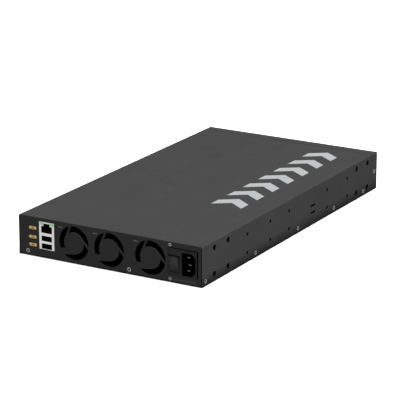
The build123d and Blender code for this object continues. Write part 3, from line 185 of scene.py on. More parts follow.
class Shade:
    """A material in the making: its Principled shader and short ways to add nodes to it."""

    def __init__(self, name, colour, roughness, metallic=0.0, specular=0.5):
        self.material = bpy.data.materials.new(name)
        self.material.use_nodes = True
        self.tree = self.material.node_tree
        self.shader = self.tree.nodes["Principled BSDF"]
        self.colour = (*colour, 1)
        self.shader.inputs["Base Color"].default_value = self.colour
        self.shader.inputs["Roughness"].default_value = roughness
        self.shader.inputs["Metallic"].default_value = metallic
        self.shader.inputs["Specular IOR Level"].default_value = specular
        self.place = self.tree.nodes.new("ShaderNodeTexCoord").outputs["Object"]

    def add(self, kind, inputs=None, **settings):
        """A node with its settings and inputs: numbers, colours or other nodes' outputs."""
        node = self.tree.nodes.new("ShaderNode" + kind)
        for key, value in settings.items():
            setattr(node, key, value)
        for key, value in (inputs or {}).items():
            self.feed(node.inputs[key], value)
        return node

    def feed(self, socket, value):
        if isinstance(value, bpy.types.NodeSocket):
            self.tree.links.new(value, socket)
        else:
            socket.default_value = value

    def sum(self, operation, a, b=0.0, c=0.0):
        """One arithmetic step."""
        return self.add("Math", {0: a, 1: b, 2: c}, operation=operation).outputs[0]

    def all_of(self, *masks):
        """The product of several masks."""
        total = masks[0]
        for mask in masks[1:]:
            total = self.sum("MULTIPLY", total, mask)
        return total

    def axes(self):
        """The place's three coordinates."""
        return self.add("SeparateXYZ", {0: self.place}).outputs

    def stretched(self, scale):
        """The place with each axis scaled."""
        return self.add("Mapping", {"Vector": self.place, "Scale": scale}).outputs[0]

    def noise(self, scale, detail=2.0, vector=None, roughness=0.5):
        """Soft noise from 0 to 1; scale is features a metre."""
        inputs = {
            "Vector": vector or self.place,
            "Scale": scale, "Detail": detail, "Roughness": roughness,
        }
        return self.add("TexNoise", inputs).outputs["Fac"]

    def spread(self, value, low, high, to_low=0.0, to_high=1.0):
        """The value from low to high, mapped to a new range and held inside it."""
        inputs = {
            "Value": value, "From Min": low, "From Max": high, "To Min": to_low, "To Max": to_high,
        }
        return self.add("MapRange", inputs, clamp=True).outputs["Result"]

    def blend(self, factor, a, b):
        """A colour that goes from a to b."""
        node = self.add("Mix", data_type="RGBA")
        self.feed(node.inputs[0], factor)
        self.feed(node.inputs[6], a if isinstance(a, bpy.types.NodeSocket) else (*a[:3], 1))
        self.feed(node.inputs[7], b if isinstance(b, bpy.types.NodeSocket) else (*b[:3], 1))
        return node.outputs[2]

    def edges(self, radius):
        """1 along edges and corners, within the radius, and 0 on open faces."""
        rounded = self.add("Bevel", {"Radius": radius}, samples=4).outputs[0]
        flat = self.add("NewGeometry").outputs["True Normal"]
        compare = self.add("VectorMath", {0: rounded, 1: flat}, operation="DOT_PRODUCT")
        return self.spread(compare.outputs["Value"], 0.99, 0.80)

    def open_air(self, distance):
        """1 where the surface stands free and less in corners and recesses, within the distance."""
        return self.add("AmbientOcclusion", {"Distance": distance}, samples=8).outputs["AO"]

    def bump(self, height, distance, strength=1.0):
        """Adds relief. The distance is how high the height's 1 stands, in metres."""
        normal = self.shader.inputs["Normal"]
        inputs = {"Height": height, "Distance": distance, "Strength": strength}
        if normal.links:
            inputs["Normal"] = normal.links[0].from_socket
        self.tree.links.new(self.add("Bump", inputs).outputs[0], normal)

    def paint(self, colour):
        """Drives the base colour."""
        self.tree.links.new(colour, self.shader.inputs["Base Color"])

    def painted(self):
        """What drives the base colour so far, to paint over."""
        return self.shader.inputs["Base Color"].links[0].from_socket

    def roughen(self, low, high, scale, detail=3.0, vector=None):
        """Patches of roughness between two values."""
        value = self.spread(self.noise(scale, detail, vector), 0.3, 0.7, low, high)
        self.tree.links.new(value, self.shader.inputs["Roughness"])


def darker(colour, factor):
    """The colour times a factor."""
    return tuple(channel * factor for channel in colour[:3])


# Materials

COAT = (0.0288, 0.0288, 0.0288)
# The same black coat as the cover's, made darker: painted shade for the rear panel and the parts
# that take its tone.
SHADED_COAT = (0.0188, 0.0188, 0.0188)
INK = (0.23, 0.245, 0.245)
MARK = (0.105, 0.105, 0.105)
# Near-black, far darker than real plastic: painted shade inside the inlet's cup, the port sockets
# and the fans.
SHADE_BLACK = (0.0006, 0.0006, 0.0006)
PLASTIC_BLACK = (0.014, 0.014, 0.0145)
ROCKER_BLACK = (0.0300, 0.0300, 0.0302)
PIN_TIP = (0.19, 0.19, 0.186)
GOLD = (0.93, 0.65, 0.25)
BRIGHT_NICKEL = (0.90, 0.90, 0.90)
# The green of the glow painted on the port can by its light windows.
GREEN_GLOW = (0.56, 0.84, 0.62)

SIDE_FACE = CAD_BOX[1].x
TOP_FACE = CAD_BOX[1].z
REAR_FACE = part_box("rear_panel")[1].y
SEAM_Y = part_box("front_panel")[1].y

EDGE_WEAR_AND_HIGHLIGHT = 0.35 * MM
# How far the painted shade in corners and recesses reaches.
SHADE_REACH = 3.0 * MM
FACE_SKIN = 0.05 * MM
TOP_SKIN = 2.0 * MM
PRINT_SKIN = 0.1 * MM
CHEVRON_SKIN = 0.2 * MM
SCREW_SKIN = 0.06 * MM
SIDE_SCREW_DEPTH = 4.0 * MM
FLANGE_DEPTH = 3.5 * MM
# Heights over which the cover's sides get their painted shade near the floor.
FLOOR_SHADE_Z = (1.0 * MM, 13.0 * MM)
SEAM_SHADE = 0.45 * MM

DASH_SHARE = 0.72
FAN_MARK_XS = (56.1 * MM, 13.6 * MM, -35.4 * MM)
FAN_MARK_Z = 37.0 * MM
FAN_MARK_WIDTH = 5.4 * MM
FAN_MARK_HEIGHT = 1.1 * MM
FAN_MARK_DASHES = 3
INLET_LINE_X = (-103.0 * MM, -77.4 * MM)
INLET_LINE_ZS = (3.55 * MM, 4.4 * MM)
INLET_LINE_HEIGHT = 0.45 * MM
INLET_LINE_PITCH = 1.7 * MM

# The half width and fade of the darker band across the middle of the timing ports' tongues.
MIDDLE_BAND_HALF = 1.6 * MM
MIDDLE_BAND_FADE = 0.8 * MM
STACK_EDGE = 0.6 * MM
LIGHT_SPILL_Z = (33.5 * MM, 37.5 * MM)

# The rocker's painted shadow: its width, fade, place and where it tapers off.
ROCKER_SHADOW = 0.8 * MM
ROCKER_SHADOW_FADE = 0.3 * MM
ROCKER_SHADOW_LIFT = 0.4 * MM
ROCKER_SHADOW_ASIDE = 0.3 * MM
ROCKER_SHADOW_TAPER = (4.0 * MM, 8.0 * MM)
# Insets of the rocker's painted light, from its darkened bottom to its full colour near the top.
ROCKER_SHADE_INSETS = (2.0 * MM, 3.0 * MM)

CHEVRONS = 7
CHEVRON_PITCH = 34.6 * MM
CHEVRON_HALF = 18.2 * MM
CHEVRON_DROP = 13.0 * MM
CHEVRON_SHARE = 0.46
CHEVRON_X = -63.1 * MM
CHEVRON_START_Y = -168.0 * MM


def powder_coat(name, colour, rough=0.70, shade_kept=0.2):
    """Fine matt powder coat: orange peel, faint mottling, paler edges that are rubbed wear
    and a painted highlight, and painted shade in recesses.

    The last argument is how much of its colour the coat keeps deep in a recess, under the painted
    shade.
    """
    s = Shade(name, colour, rough, specular=0.03)
    mottled = s.blend(s.noise(28, 4), darker(colour, 0.88), darker(colour, 1.12))
    specks = s.spread(s.noise(5200, 1), 0.60, 0.72, 0, 0.35)
    speckled = s.blend(specks, mottled, darker(colour, 1.7))
    # Paler edges: partly rubbed wear, partly a painted highlight.
    rubbed_and_highlit = s.blend(s.sum("MULTIPLY", s.edges(EDGE_WEAR_AND_HIGHLIGHT), 0.30), speckled, darker(colour, 2.2))
    # Painted shade deep in corners and recesses.
    recess_shade = s.spread(s.open_air(SHADE_REACH), 0.45, 0.95, 1, 0)
    s.paint(s.blend(recess_shade, rubbed_and_highlit, darker(colour, shade_kept)))
    s.roughen(rough - 0.05, rough + 0.06, 40)
    s.bump(s.noise(1700, 2), 0.03 * MM, 0.5)
    return s


def chevron_mask(s):
    """A row of printed chevrons along one side of the top."""
    x, y, z = s.axes()
    across = s.sum("ABSOLUTE", s.sum("SUBTRACT", x, CHEVRON_X))
    along = s.sum("DIVIDE", s.sum("SUBTRACT", y, CHEVRON_START_Y), CHEVRON_PITCH)
    slope = CHEVRON_DROP / CHEVRON_PITCH / CHEVRON_HALF
    step = s.sum("SUBTRACT", along, s.sum("MULTIPLY", across, slope))
    inked = s.sum("LESS_THAN", s.sum("FRACT", step), CHEVRON_SHARE)
    started = s.sum("GREATER_THAN", step, 0.0)
    ended = s.sum("LESS_THAN", step, CHEVRONS - 1 + CHEVRON_SHARE + 0.01)
    inside = s.sum("LESS_THAN", across, CHEVRON_HALF)
    on_top = s.sum("GREATER_THAN", z, TOP_FACE - CHEVRON_SKIN)
    return s.all_of(inked, started, ended, inside, on_top)


def cover_coat():
    """The cover's coat: printed chevrons, a painted shadow along the seam, painted shade low on
    the sides, and an inside painted nearly black as the shade within the box.
    """
    s = powder_coat("cover_coat", COAT)
    x, y, z = s.axes()
    plain = s.painted()
    # Painted shade: the sides darken towards the floor.
    floor_shade = s.blend(s.spread(z, FLOOR_SHADE_Z[0], FLOOR_SHADE_Z[1], 1, 0), plain, darker(COAT, 0.3))
    side_skin = s.sum("GREATER_THAN", s.sum("ABSOLUTE", x), SIDE_FACE - FACE_SKIN)
    top_skin = s.sum("GREATER_THAN", z, TOP_FACE - TOP_SKIN)
    skin = s.sum("MAXIMUM", side_skin, top_skin)
    ink = s.blend(s.noise(900, 3), darker(INK, 0.90), darker(INK, 1.10))
    # Painted shadow: a dark line along the seam with the front panel.
    seam_shadow = s.sum("LESS_THAN", s.sum("ABSOLUTE", s.sum("SUBTRACT", y, SEAM_Y)), SEAM_SHADE)
    with_seam_shadow = s.blend(s.all_of(seam_shadow, top_skin), floor_shade, darker(COAT, 0.05))
    outside = s.blend(chevron_mask(s), with_seam_shadow, ink)
    # Painted shade: every face inside the box is made nearly black.
    s.paint(s.blend(skin, darker(COAT, 0.15), outside))
    return s


def tray_coat():
    """The tray's powder coat, painted very dark as the shade inside the box, and darkest on the
    side flanges behind the cover's holes, as the shade in those holes.
    """
    # Painted shade: far darker than the coat, as the shade inside the box.
    colour = darker(SHADED_COAT, 0.35)
    s = powder_coat("tray_coat", colour)
    plain = s.painted()
    x = s.axes()[0]
    # Painted shade: darkest on the flanges that show through the cover's holes.
    flange = s.sum("GREATER_THAN", s.sum("ABSOLUTE", x), SIDE_FACE - FLANGE_DEPTH)
    s.paint(s.blend(flange, plain, darker(colour, 0.05)))
    return s


def dashes(s, x_range, z, height, pitch):
    """A printed row of short dashes on the rear panel's outer face."""
    at_x, at_y, at_z = s.axes()
    along = s.sum("DIVIDE", s.sum("SUBTRACT", at_x, x_range[0]), pitch)
    inked = s.sum("LESS_THAN", s.sum("FRACT", along), DASH_SHARE)
    started = s.sum("GREATER_THAN", at_x, x_range[0])
    ended = s.sum("LESS_THAN", at_x, x_range[1])
    level = s.sum("LESS_THAN", s.sum("ABSOLUTE", s.sum("SUBTRACT", at_z, z)), height / 2)
    on_face = s.sum("GREATER_THAN", at_y, REAR_FACE - PRINT_SKIN)
    return s.all_of(inked, started, ended, level, on_face)


def rear_coat():
    """The rear panel's coat, darker than the cover's as painted shade, with a printed mark by
    each fan and fine lines under the inlet.
    """
    s = powder_coat("rear_coat", SHADED_COAT)
    plain = s.painted()
    pitch = FAN_MARK_WIDTH / FAN_MARK_DASHES
    fan_marks = [
        dashes(s, (x, x + FAN_MARK_WIDTH), FAN_MARK_Z, FAN_MARK_HEIGHT, pitch) for x in FAN_MARK_XS
    ]
    marked = s.sum("MAXIMUM", s.sum("MAXIMUM", fan_marks[0], fan_marks[1]), fan_marks[2])
    lines = [dashes(s, INLET_LINE_X, z, INLET_LINE_HEIGHT, INLET_LINE_PITCH) for z in INLET_LINE_ZS]
    lined = s.sum("MAXIMUM", lines[0], lines[1])
    grey = s.blend(s.noise(900, 2), darker(MARK, 0.9), darker(MARK, 1.1))
    s.paint(s.blend(lined, s.blend(marked, plain, grey), s.blend(0.45, plain, grey)))
    return s


def black_plastic(
    name="black_plastic", colour=PLASTIC_BLACK, rough=0.5, specular=0.4, shade_kept=0.15,
):
    """Moulded black plastic with a fine spark-eroded grain, and painted shade in its recesses."""
    s = Shade(name, colour, rough, specular=specular)
    grained = s.blend(s.noise(60, 3), darker(colour, 0.85), darker(colour, 1.2))
    # Painted shade deep in corners and recesses.
    recess_shade = s.spread(s.open_air(SHADE_REACH), 0.45, 0.95, 1, 0)
    s.paint(s.blend(recess_shade, grained, darker(colour, shade_kept)))
    s.roughen(rough - 0.06, rough + 0.08, 90)
    s.bump(s.noise(4200, 2), 0.012 * MM, 0.5)
    return s


def inlet_plastic():
    """The inlet's moulding: painted near-black inside its cup as the shade there, with its rim's
    face in the plate's tone.
    """
    # Painted shade: the moulding is near-black, and only the rim's face takes the plate's tone.
    s = black_plastic("inlet_plastic", SHADE_BLACK, 0.8, 0.0)
    cup = s.painted()
    y = s.axes()[1]
    rim = s.sum("GREATER_THAN", y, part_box("ac_inlet_housing")[1].y - PRINT_SKIN)
    rim_tone = s.blend(s.noise(60, 3), darker(SHADED_COAT, 0.85), darker(SHADED_COAT, 1.05))
    s.paint(s.blend(rim, cup, rim_tone))
    return s


def rocker_plastic():
    """The rocker and its frame: painted light, paler towards the top, and a painted black shadow
    above the rocker and down one side.
    """
    s = black_plastic("rocker_plastic", ROCKER_BLACK, 0.50, 0.02, 0.5)
    plain = s.painted()
    x, y, z = s.axes()
    low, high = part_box("power_rocker")
    face_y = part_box("rocker_frame")[1].y
    shaded_z, lit_z = low.z + ROCKER_SHADE_INSETS[0], high.z - ROCKER_SHADE_INSETS[1]
    # Painted light: the rocker's face darkens from the top towards the bottom.
    lit_from_above = s.blend(s.spread(z, shaded_z, lit_z), darker(ROCKER_BLACK, 0.5), plain)
    # Painted shadow: a black band above the rocker and down its side, fading out lower down.
    above = s.sum("ABSOLUTE", s.sum("SUBTRACT", z, high.z + ROCKER_SHADOW_LIFT))
    aside = s.sum("ABSOLUTE", s.sum("SUBTRACT", x, low.x + ROCKER_SHADOW_ASIDE))
    over_top = s.spread(above, ROCKER_SHADOW, ROCKER_SHADOW + ROCKER_SHADOW_FADE, 1, 0)
    beside = s.spread(aside, ROCKER_SHADOW, ROCKER_SHADOW + ROCKER_SHADOW_FADE, 1, 0)
    upper = s.spread(z, low.z + ROCKER_SHADOW_TAPER[0], low.z + ROCKER_SHADOW_TAPER[1])
    painted_shadow = s.sum("MAXIMUM", over_top, s.all_of(beside, upper))
    rim = s.blend(s.noise(60, 3), darker(SHADED_COAT, 0.85), darker(SHADED_COAT, 1.1))
    faced = s.blend(s.sum("GREATER_THAN", y, face_y - FACE_SKIN), lit_from_above, rim)
    s.paint(s.blend(painted_shadow, faced, darker(ROCKER_BLACK, 0.03)))
    return s


def tipped_pins():
    """Nickel-plated pins: their outward ends keep the plated colour, and their flanks are
    painted nearly black as the shade inside the inlet and the switch.
    """
    s = plated_steel("pin_nickel", PIN_TIP, 0.34, (900, 60, 900))
    bright = s.painted()
    facing = s.add("SeparateXYZ", {0: s.add("NewGeometry").outputs["Normal"]}).outputs[1]
    # Painted shade: all but the outward ends is made nearly black.
    s.paint(s.blend(s.spread(facing, 0.75, 0.98), darker(PIN_TIP, 0.1), bright))
    return s


def plated_steel(name, colour, rough, grain=(40, 900, 900)):
    """Bright plated sheet: faint rolling lines, cloudy plating, a few darker spots."""
    s = Shade(name, colour, rough, metallic=1.0)
    lines = s.noise(1, 3, s.stretched(grain))
    clouds = s.noise(140, 4)
    toned = s.blend(clouds, darker(colour, 0.86), darker(colour, 1.08))
    s.paint(s.blend(s.spread(s.noise(700, 2), 0.62, 0.75, 0, 0.4), toned, darker(colour, 0.6)))
    s.roughen(rough - 0.07, rough + 0.1, 220)
    s.bump(lines, 0.004 * MM, 0.4)
    return s


def port_nickel():
    """The port stack's bright can, with painted shade on its edges and a painted green glow
    near its light windows.
    """
    s = plated_steel("port_nickel", BRIGHT_NICKEL, 0.36)
    plain = s.painted()
    z = s.axes()[2]
    # Painted light: a green glow at the height of the light windows.
    glow_painted = s.blend(s.spread(z, LIGHT_SPILL_Z[0], LIGHT_SPILL_Z[1], 0, 0.6), plain, GREEN_GLOW)
    # Painted shade: the edges are made nearly black.
    s.paint(s.blend(s.edges(STACK_EDGE), glow_painted, darker(BRIGHT_NICKEL, 0.12)))
    return s


def screw_zinc():
    """Zinc-plated screws with turning marks, paler edges as a painted highlight, and painted
    shade in the socket below the head's face.
    """
    colour = (0.38, 0.38, 0.40)
    s = Shade("screw_zinc", colour, 0.3, metallic=1.0)
    clouds = s.noise(900, 3)
    toned = s.blend(clouds, darker(colour, 0.75), darker(colour, 1.1))
    # Painted highlight: the edges are paler.
    bright = s.blend(s.sum("MULTIPLY", s.edges(0.15 * MM), 0.3), toned, (0.62, 0.62, 0.63))
    x, y, _ = s.axes()
    side_face = s.sum("GREATER_THAN", s.sum("ABSOLUTE", x), SIDE_FACE - SCREW_SKIN)
    rear_face = s.sum("GREATER_THAN", y, REAR_FACE - SCREW_SKIN)
    beside = s.sum("GREATER_THAN", s.sum("ABSOLUTE", x), SIDE_FACE - SIDE_SCREW_DEPTH)
    # Painted shade in the socket, deepest in the screws on the sides.
    socket = s.blend(beside, darker(colour, 0.12), darker(colour, 0.5))
    s.paint(s.blend(s.sum("MAXIMUM", side_face, rear_face), socket, bright))
    s.roughen(0.24, 0.42, 1500)
    s.bump(s.noise(3000, 2), 0.006 * MM, 0.5)
    return s


def tongue_gold():
    """The timing ports' tongues: gold, darker in a band across the middle."""
    s = gold("tongue_gold", GOLD)
    bright = s.painted()
    x = s.axes()[0]
    middle = sum(corner.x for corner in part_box("timing_port_tongues")) / 2
    aside = s.sum("ABSOLUTE", s.sum("SUBTRACT", x, middle))
    middle_band = s.spread(aside, MIDDLE_BAND_HALF, MIDDLE_BAND_HALF + MIDDLE_BAND_FADE, 1, 0)
    s.paint(s.blend(middle_band, bright, darker(GOLD, 0.42)))
    return s


def gold(name, colour):
    """Gold plating with a slightly brushed surface, and painted shade in its crevices."""
    s = Shade(name, colour, 0.32, metallic=1.0)
    brushed = s.blend(s.noise(800, 3), darker(colour, 0.86), darker(colour, 1.1))
    # Painted shade deep in crevices.
    recess_shade = s.spread(s.open_air(1.2 * MM), 0.25, 0.85, 1, 0)
    s.paint(s.blend(recess_shade, brushed, darker(colour, 0.2)))
    s.roughen(0.22, 0.38, 1200)
    s.bump(s.noise(1, 3, s.stretched((3000, 300, 3000))), 0.004 * MM, 0.5)
    return s


def bronze():
    """Sintered bronze, with open pores."""
    colour = (0.45, 0.27, 0.12)
    s = Shade("sintered_bronze", colour, 0.5, metallic=1.0)
    pores = s.spread(s.noise(5200, 2), 0.35, 0.5)
    s.paint(s.blend(pores, darker(colour, 0.35), colour))
    s.bump(pores, 0.01 * MM, 0.6)
    return s


def circuit_board():
    """Dark green solder mask over copper tracks, with plated vias."""
    mask_colour = (0.010, 0.060, 0.028)
    s = Shade("circuit_board", mask_colour, 0.32, specular=0.5)
    cells = s.add("TexVoronoi", {"Vector": s.place, "Scale": 70}, distance="CHEBYCHEV")
    turn = s.sum("GREATER_THAN", s.add("SeparateXYZ", {0: cells.outputs["Color"]}).outputs[0], 0.5)
    x, y, _ = s.axes()
    along_x = s.sum("FRACT", s.sum("MULTIPLY", x, 900))
    along_y = s.sum("FRACT", s.sum("MULTIPLY", y, 900))
    lane = s.add("Mix", {0: turn, 2: along_x, 3: along_y}, data_type="FLOAT").outputs[0]
    gate = s.sum("GREATER_THAN", s.noise(160, 1), 0.5)
    tracks = s.all_of(s.sum("GREATER_THAN", lane, 0.62), gate)
    laminate = s.blend(s.noise(20, 3), darker(mask_colour, 0.85), mask_colour)
    base = s.blend(tracks, laminate, (0.022, 0.11, 0.048))
    dots = s.add("TexVoronoi", {"Vector": s.place, "Scale": 260}).outputs["Distance"]
    vias = s.sum("LESS_THAN", dots, 0.16)
    s.paint(s.blend(vias, base, (0.45, 0.40, 0.28)))
    s.roughen(0.26, 0.4, 300)
    s.bump(tracks, 0.03 * MM, 0.5)
    return s


def chip_epoxy():
    """Moulded chip packages: matt black epoxy with an uneven tone."""
    colour = (0.016, 0.016, 0.017)
    s = Shade("chip_epoxy", colour, 0.55, specular=0.4)
    s.paint(s.blend(s.noise(600, 4), darker(colour, 0.8), darker(colour, 1.5)))
    s.roughen(0.48, 0.66, 1500)
    s.bump(s.noise(6000, 2), 0.008 * MM, 0.5)
    return s


def extruded_aluminium():
    """Extruded fins with fine lines along Y."""
    colour = (0.60, 0.61, 0.62)
    s = Shade("extruded_aluminium", colour, 0.38, metallic=1.0)
    lines = s.noise(1, 4, s.stretched((4000, 30, 4000)))
    s.paint(s.blend(lines, darker(colour, 0.8), darker(colour, 1.1)))
    s.roughen(0.3, 0.48, 1, 4, s.stretched((2500, 25, 2500)))
    s.bump(lines, 0.01 * MM, 0.4)
    return s


def copper_winding():
    """Enamelled wire laid side by side."""
    colour = (0.50, 0.18, 0.07)
    s = Shade("copper_winding", colour, 0.3, metallic=1.0)
    inputs = {"Vector": s.place, "Scale": 420, "Distortion": 0.6}
    wave = s.add("TexWave", inputs, bands_direction="Z").outputs["Fac"]
    s.paint(s.blend(wave, darker(colour, 0.35), darker(colour, 1.15)))
    s.roughen(0.24, 0.4, 500)
    s.bump(wave, 0.25 * MM, 0.8)
    return s


def ferrite():
    """Dark grey pressed ferrite."""
    colour = (0.035, 0.034, 0.034)
    s = Shade("ferrite", colour, 0.7, specular=0.35)
    s.paint(s.blend(s.noise(1800, 3), darker(colour, 0.7), darker(colour, 1.4)))
    s.roughen(0.6, 0.8, 900)
    s.bump(s.noise(3500, 3), 0.02 * MM, 0.6)
    return s


def capacitor_sleeve():
    """Shrink sleeve on a capacitor, with its pale stripe."""
    colour = (0.012, 0.014, 0.03)
    s = Shade("capacitor_sleeve", colour, 0.35, specular=0.5)
    wave = s.add("TexWave", {"Vector": s.place, "Scale": 12}).outputs["Fac"]
    sleeve = s.blend(s.noise(80, 2), colour, darker(colour, 1.5))
    s.paint(s.blend(s.sum("GREATER_THAN", wave, 0.93), sleeve, (0.35, 0.37, 0.40)))
    s.roughen(0.28, 0.42, 150)
    s.bump(s.noise(500, 2), 0.02 * MM, 0.4)
    return s


def clear_plastic():
    """The light pipes' clear acrylic, slightly frosted."""
    s = Shade("clear_plastic", (0.80, 0.84, 0.82), 0.25, specular=0.5)
    s.shader.inputs["Transmission Weight"].default_value = 0.35
    s.paint(s.blend(s.noise(300, 2), (0.72, 0.77, 0.75), (0.88, 0.91, 0.90)))
    s.roughen(0.18, 0.34, 900)
    s.bump(s.noise(2500, 2), 0.006 * MM, 0.4)
    return s


def green_window():
    """The jack's milky green light windows."""
    colour = (0.24, 0.46, 0.29)
    s = Shade("green_window", colour, 0.35, specular=0.5)
    s.shader.inputs["Subsurface Weight"].default_value = 0.2
    s.shader.inputs["Subsurface Scale"].default_value = 1.0 * MM
    s.paint(s.blend(s.noise(700, 2), darker(colour, 0.85), (0.32, 0.54, 0.38)))
    s.roughen(0.28, 0.42, 900)
    s.bump(s.noise(2500, 2), 0.006 * MM, 0.4)
    return s


def wire_sleeve():
    """Soft insulation with a slight drag along it."""
    colour = (0.020, 0.020, 0.022)
    s = Shade("wire_sleeve", colour, 0.45, specular=0.45)
    s.paint(s.blend(s.noise(200, 3), darker(colour, 0.8), darker(colour, 1.5)))
    s.roughen(0.38, 0.55, 400)
    s.bump(s.noise(1, 2, s.stretched((3000, 200, 3000))), 0.01 * MM, 0.5)
    return s


def assign(material, *names):
    """Gives CAD nodes one material."""
    for name in names:
        NODES[name].data.materials.clear()
        NODES[name].data.materials.append(material)


def dress_frame():
    """Materials for every CAD node."""
    fans = (1, 2, 3)
    assign(cover_coat().material, "top_cover")
    assign(powder_coat("front_coat", COAT).material, "front_panel")
    assign(rear_coat().material, "rear_panel")
    assign(powder_coat("bracket_coat", darker(SHADED_COAT, 0.9), shade_kept=1.0).material,
           "inlet_bracket")
    assign(tray_coat().material, "base_tray", "fan_bracket")
    assign(screw_zinc().material, "cover_screws", "rear_panel_screws", "inlet_bracket_screws",
           "fan_screws", "board_screws", "board_standoffs")
    assign(black_plastic().material,
           "cage_connectors", "reset_switch", "wire_sockets", "reset_button")
    assign(inlet_plastic().material, "ac_inlet_housing")
    # Painted shade: the port stack's body is near-black.
    assign(black_plastic("socket_shade_black", darker(SHADE_BLACK, 1.6), 0.8, 0.0).material,
           "io_stack_body")
    assign(rocker_plastic().material, "power_rocker", "rocker_frame")
    # Painted shade: the fans behind the grilles are near-black.
    assign(black_plastic("fan_shade_black", SHADE_BLACK, 0.8, 0.02).material,
           *[f"fan_{i}_frame" for i in fans], *[f"fan_{i}_rotor" for i in fans])
    assign(port_nickel().material, "io_stack_shell")
    assign(plated_steel("cage_tin", (0.66, 0.66, 0.67), 0.3, (900, 40, 900)).material,
           "sfp_cage_left", "sfp_cage_right", "qsfp_cage")
    assign(tipped_pins().material, "ac_inlet_pins", "rocker_terminals")
    assign(gold("gold_plate", GOLD).material, "timing_port_1", "timing_port_2", "timing_port_3")
    assign(gold("contact_gold", darker(GOLD, 0.2)).material, "io_stack_contacts")
    assign(tongue_gold().material, "timing_port_tongues")
    assign(bronze().material, "fan_bearings")
    assign(circuit_board().material, "main_board", "timing_board", "psu_board")
    assign(chip_epoxy().material, "switch_chip", "processor_chip", "memory_chips", "retimer_chips")
    assign(extruded_aluminium().material, "switch_heatsink", "processor_heatsink", "psu_heatsinks")
    assign(copper_winding().material, "fan_stators", "psu_filter_choke")
    assign(ferrite().material, "psu_transformer", "board_inductors")
    assign(capacitor_sleeve().material, "psu_capacitors", "board_capacitors")
    assign(clear_plastic().material, "light_pipes")
    assign(green_window().material, "io_stack_leds")
    assign(wire_sleeve().material, "ac_leads", "dc_harness", "fan_leads")


# Small pieces that the frame doesn't hold

CAGE_COLUMNS = {"sfp_cage_left": 4, "sfp_cage_right": 4, "qsfp_cage": 2}
CAGE_WALL = 0.5 * MM
CAGE_SPLIT = 2.6 * MM
SPRINGS_PER_PORT = 3
SPRING_LENGTH = 7.0 * MM
SPRING_INSET = 0.25 * MM
SPRING_WIDTH_SHARE = 0.17
SPRING_LIFT = 0.5 * MM
SPRING_BOW = 0.8
SPRING_THICKNESS = 0.1 * MM
SPRING_STEPS = 8
NUMBER_HEIGHT = 1.7 * MM
NUMBER_THICKNESS = 0.02 * MM
NUMBER_ASIDE = 2.4 * MM
NUMBER_SINK = 0.4 * MM
TYPE_SIZE = 1.4 * NUMBER_HEIGHT


def link_piece(mesh, name, material, body="chassis"):
    """A mesh as a piece that rides on a body and takes its finish from a slot."""
    piece = bpy.data.objects.new(name, mesh)
    bpy.context.scene.collection.objects.link(piece)
    mesh.materials.clear()
    mesh.materials.append(material)
    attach(piece, body)
    return piece


def cage_columns(cage):
    """The x of a cage's port columns, and the width from one column to the next."""
    low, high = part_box(cage)
    count = CAGE_COLUMNS[cage]
    pitch = (high.x - low.x - CAGE_WALL) / count
    return [low.x + CAGE_WALL / 2 + pitch * (i + 0.5) for i in range(count)], pitch


def cage_levels(cage):
    """The z span of a cage's lower and upper port openings."""
    low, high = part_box(cage)
    tall = (high.z - low.z - 2 * CAGE_WALL - CAGE_SPLIT) / 2
    lower = low.z + CAGE_WALL
    upper = lower + tall + CAGE_SPLIT
    return (lower, lower + tall), (upper, upper + tall)


def add_spring(bm, x, width, mouth_y, wall_z, inward):
    """One contact finger along Y: it leaves the wall, bows into the opening and comes back."""
    rings = []
    for step in range(SPRING_STEPS + 1):
        along = step / SPRING_STEPS
        y = mouth_y + SPRING_INSET + along * SPRING_LENGTH
        near = SPRING_LIFT * math.sin(math.pi * along) ** SPRING_BOW
        far = near + SPRING_THICKNESS
        ring = []
        for side, lift in ((-1, near), (1, near), (1, far), (-1, far)):
            ring.append(bm.verts.new((x + side * width / 2, y, wall_z + inward * lift)))
        rings.append(ring)
    for before, after in zip(rings, rings[1:]):
        for i in range(4):
            bm.faces.new((before[i], before[(i + 1) % 4], after[(i + 1) % 4], after[i]))
    bm.faces.new(rings[0][::-1])
    bm.faces.new(rings[-1])


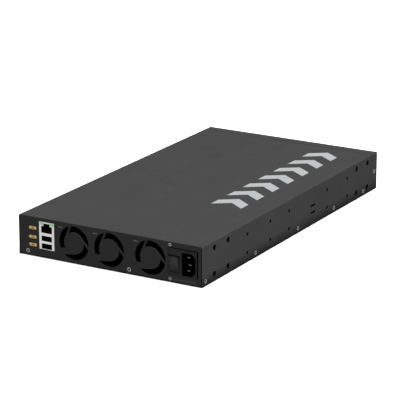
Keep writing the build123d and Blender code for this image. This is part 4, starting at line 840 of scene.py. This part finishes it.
def cage_springs(cage, material):
    """The contact fingers on the floor and the ceiling of every port in one cage."""
    bm = bmesh.new()
    xs, pitch = cage_columns(cage)
    opening = pitch - CAGE_WALL
    mouth_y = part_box(cage)[0].y
    for x in xs:
        for low, high in cage_levels(cage):
            for i in range(SPRINGS_PER_PORT):
                at_x = x + (i - (SPRINGS_PER_PORT - 1) / 2) * opening / SPRINGS_PER_PORT
                add_spring(bm, at_x, SPRING_WIDTH_SHARE * opening, mouth_y, low, 1)
                add_spring(bm, at_x, SPRING_WIDTH_SHARE * opening, mouth_y, high, -1)
    bmesh.ops.recalc_face_normals(bm, faces=bm.faces)
    mesh = bpy.data.meshes.new(f"{cage}_springs")
    bm.to_mesh(mesh)
    bm.free()
    link_piece(mesh, f"{cage}_springs", material)


def number_mesh(number, x, z, face_y):
    """A number's raised ink as a mesh on the front panel, centred on x, its foot at z."""
    text = bpy.data.curves.new("number", "FONT")
    text.body = str(number)
    text.size = TYPE_SIZE
    text.align_x = "CENTER"
    text.extrude = NUMBER_THICKNESS / 2
    holder = bpy.data.objects.new("number", text)
    mesh = bpy.data.meshes.new_from_object(holder)
    bpy.data.objects.remove(holder)
    bpy.data.curves.remove(text)
    stand_up = Matrix.Rotation(math.pi / 2, 4, "X")
    mesh.transform(Matrix.Translation((x, face_y - NUMBER_THICKNESS / 2, z)) @ stand_up)
    return mesh


def port_numbers(material):
    """The ports' printed numbers above their lights: odd and even, side by side."""
    bm = bmesh.new()
    face_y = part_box("front_panel")[0].y
    foot_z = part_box("light_pipes")[1].z - NUMBER_SINK
    columns = [x for cage in CAGE_COLUMNS for x in cage_columns(cage)[0]]
    for i, x in enumerate(columns):
        for number, side in ((2 * i + 1, -1), (2 * i + 2, 1)):
            mesh = number_mesh(number, x + side * NUMBER_ASIDE, foot_z, face_y)
            bm.from_mesh(mesh)
            bpy.data.meshes.remove(mesh)
    merged = bpy.data.meshes.new("port_numbers")
    bm.to_mesh(merged)
    bm.free()
    link_piece(merged, "port_numbers", material)


def printed_ink():
    """Pale grey printing ink, slightly uneven."""
    s = Shade("printed_ink", INK, 0.5, specular=0.3)
    s.paint(s.blend(s.noise(1500, 3), darker(INK, 0.8), darker(INK, 1.3)))
    s.roughen(0.42, 0.6, 900)
    s.bump(s.noise(6000, 2), 0.003 * MM, 0.4)
    return s


def add_small_pieces():
    """The front's contact fingers and port numbers."""
    spring_steel = plated_steel("spring_steel", (0.72, 0.71, 0.68), 0.26, (900, 40, 900)).material
    for cage in CAGE_COLUMNS:
        cage_springs(cage, spring_steel)
    port_numbers(printed_ink().material)


make_studio()
dress_frame()
add_small_pieces()
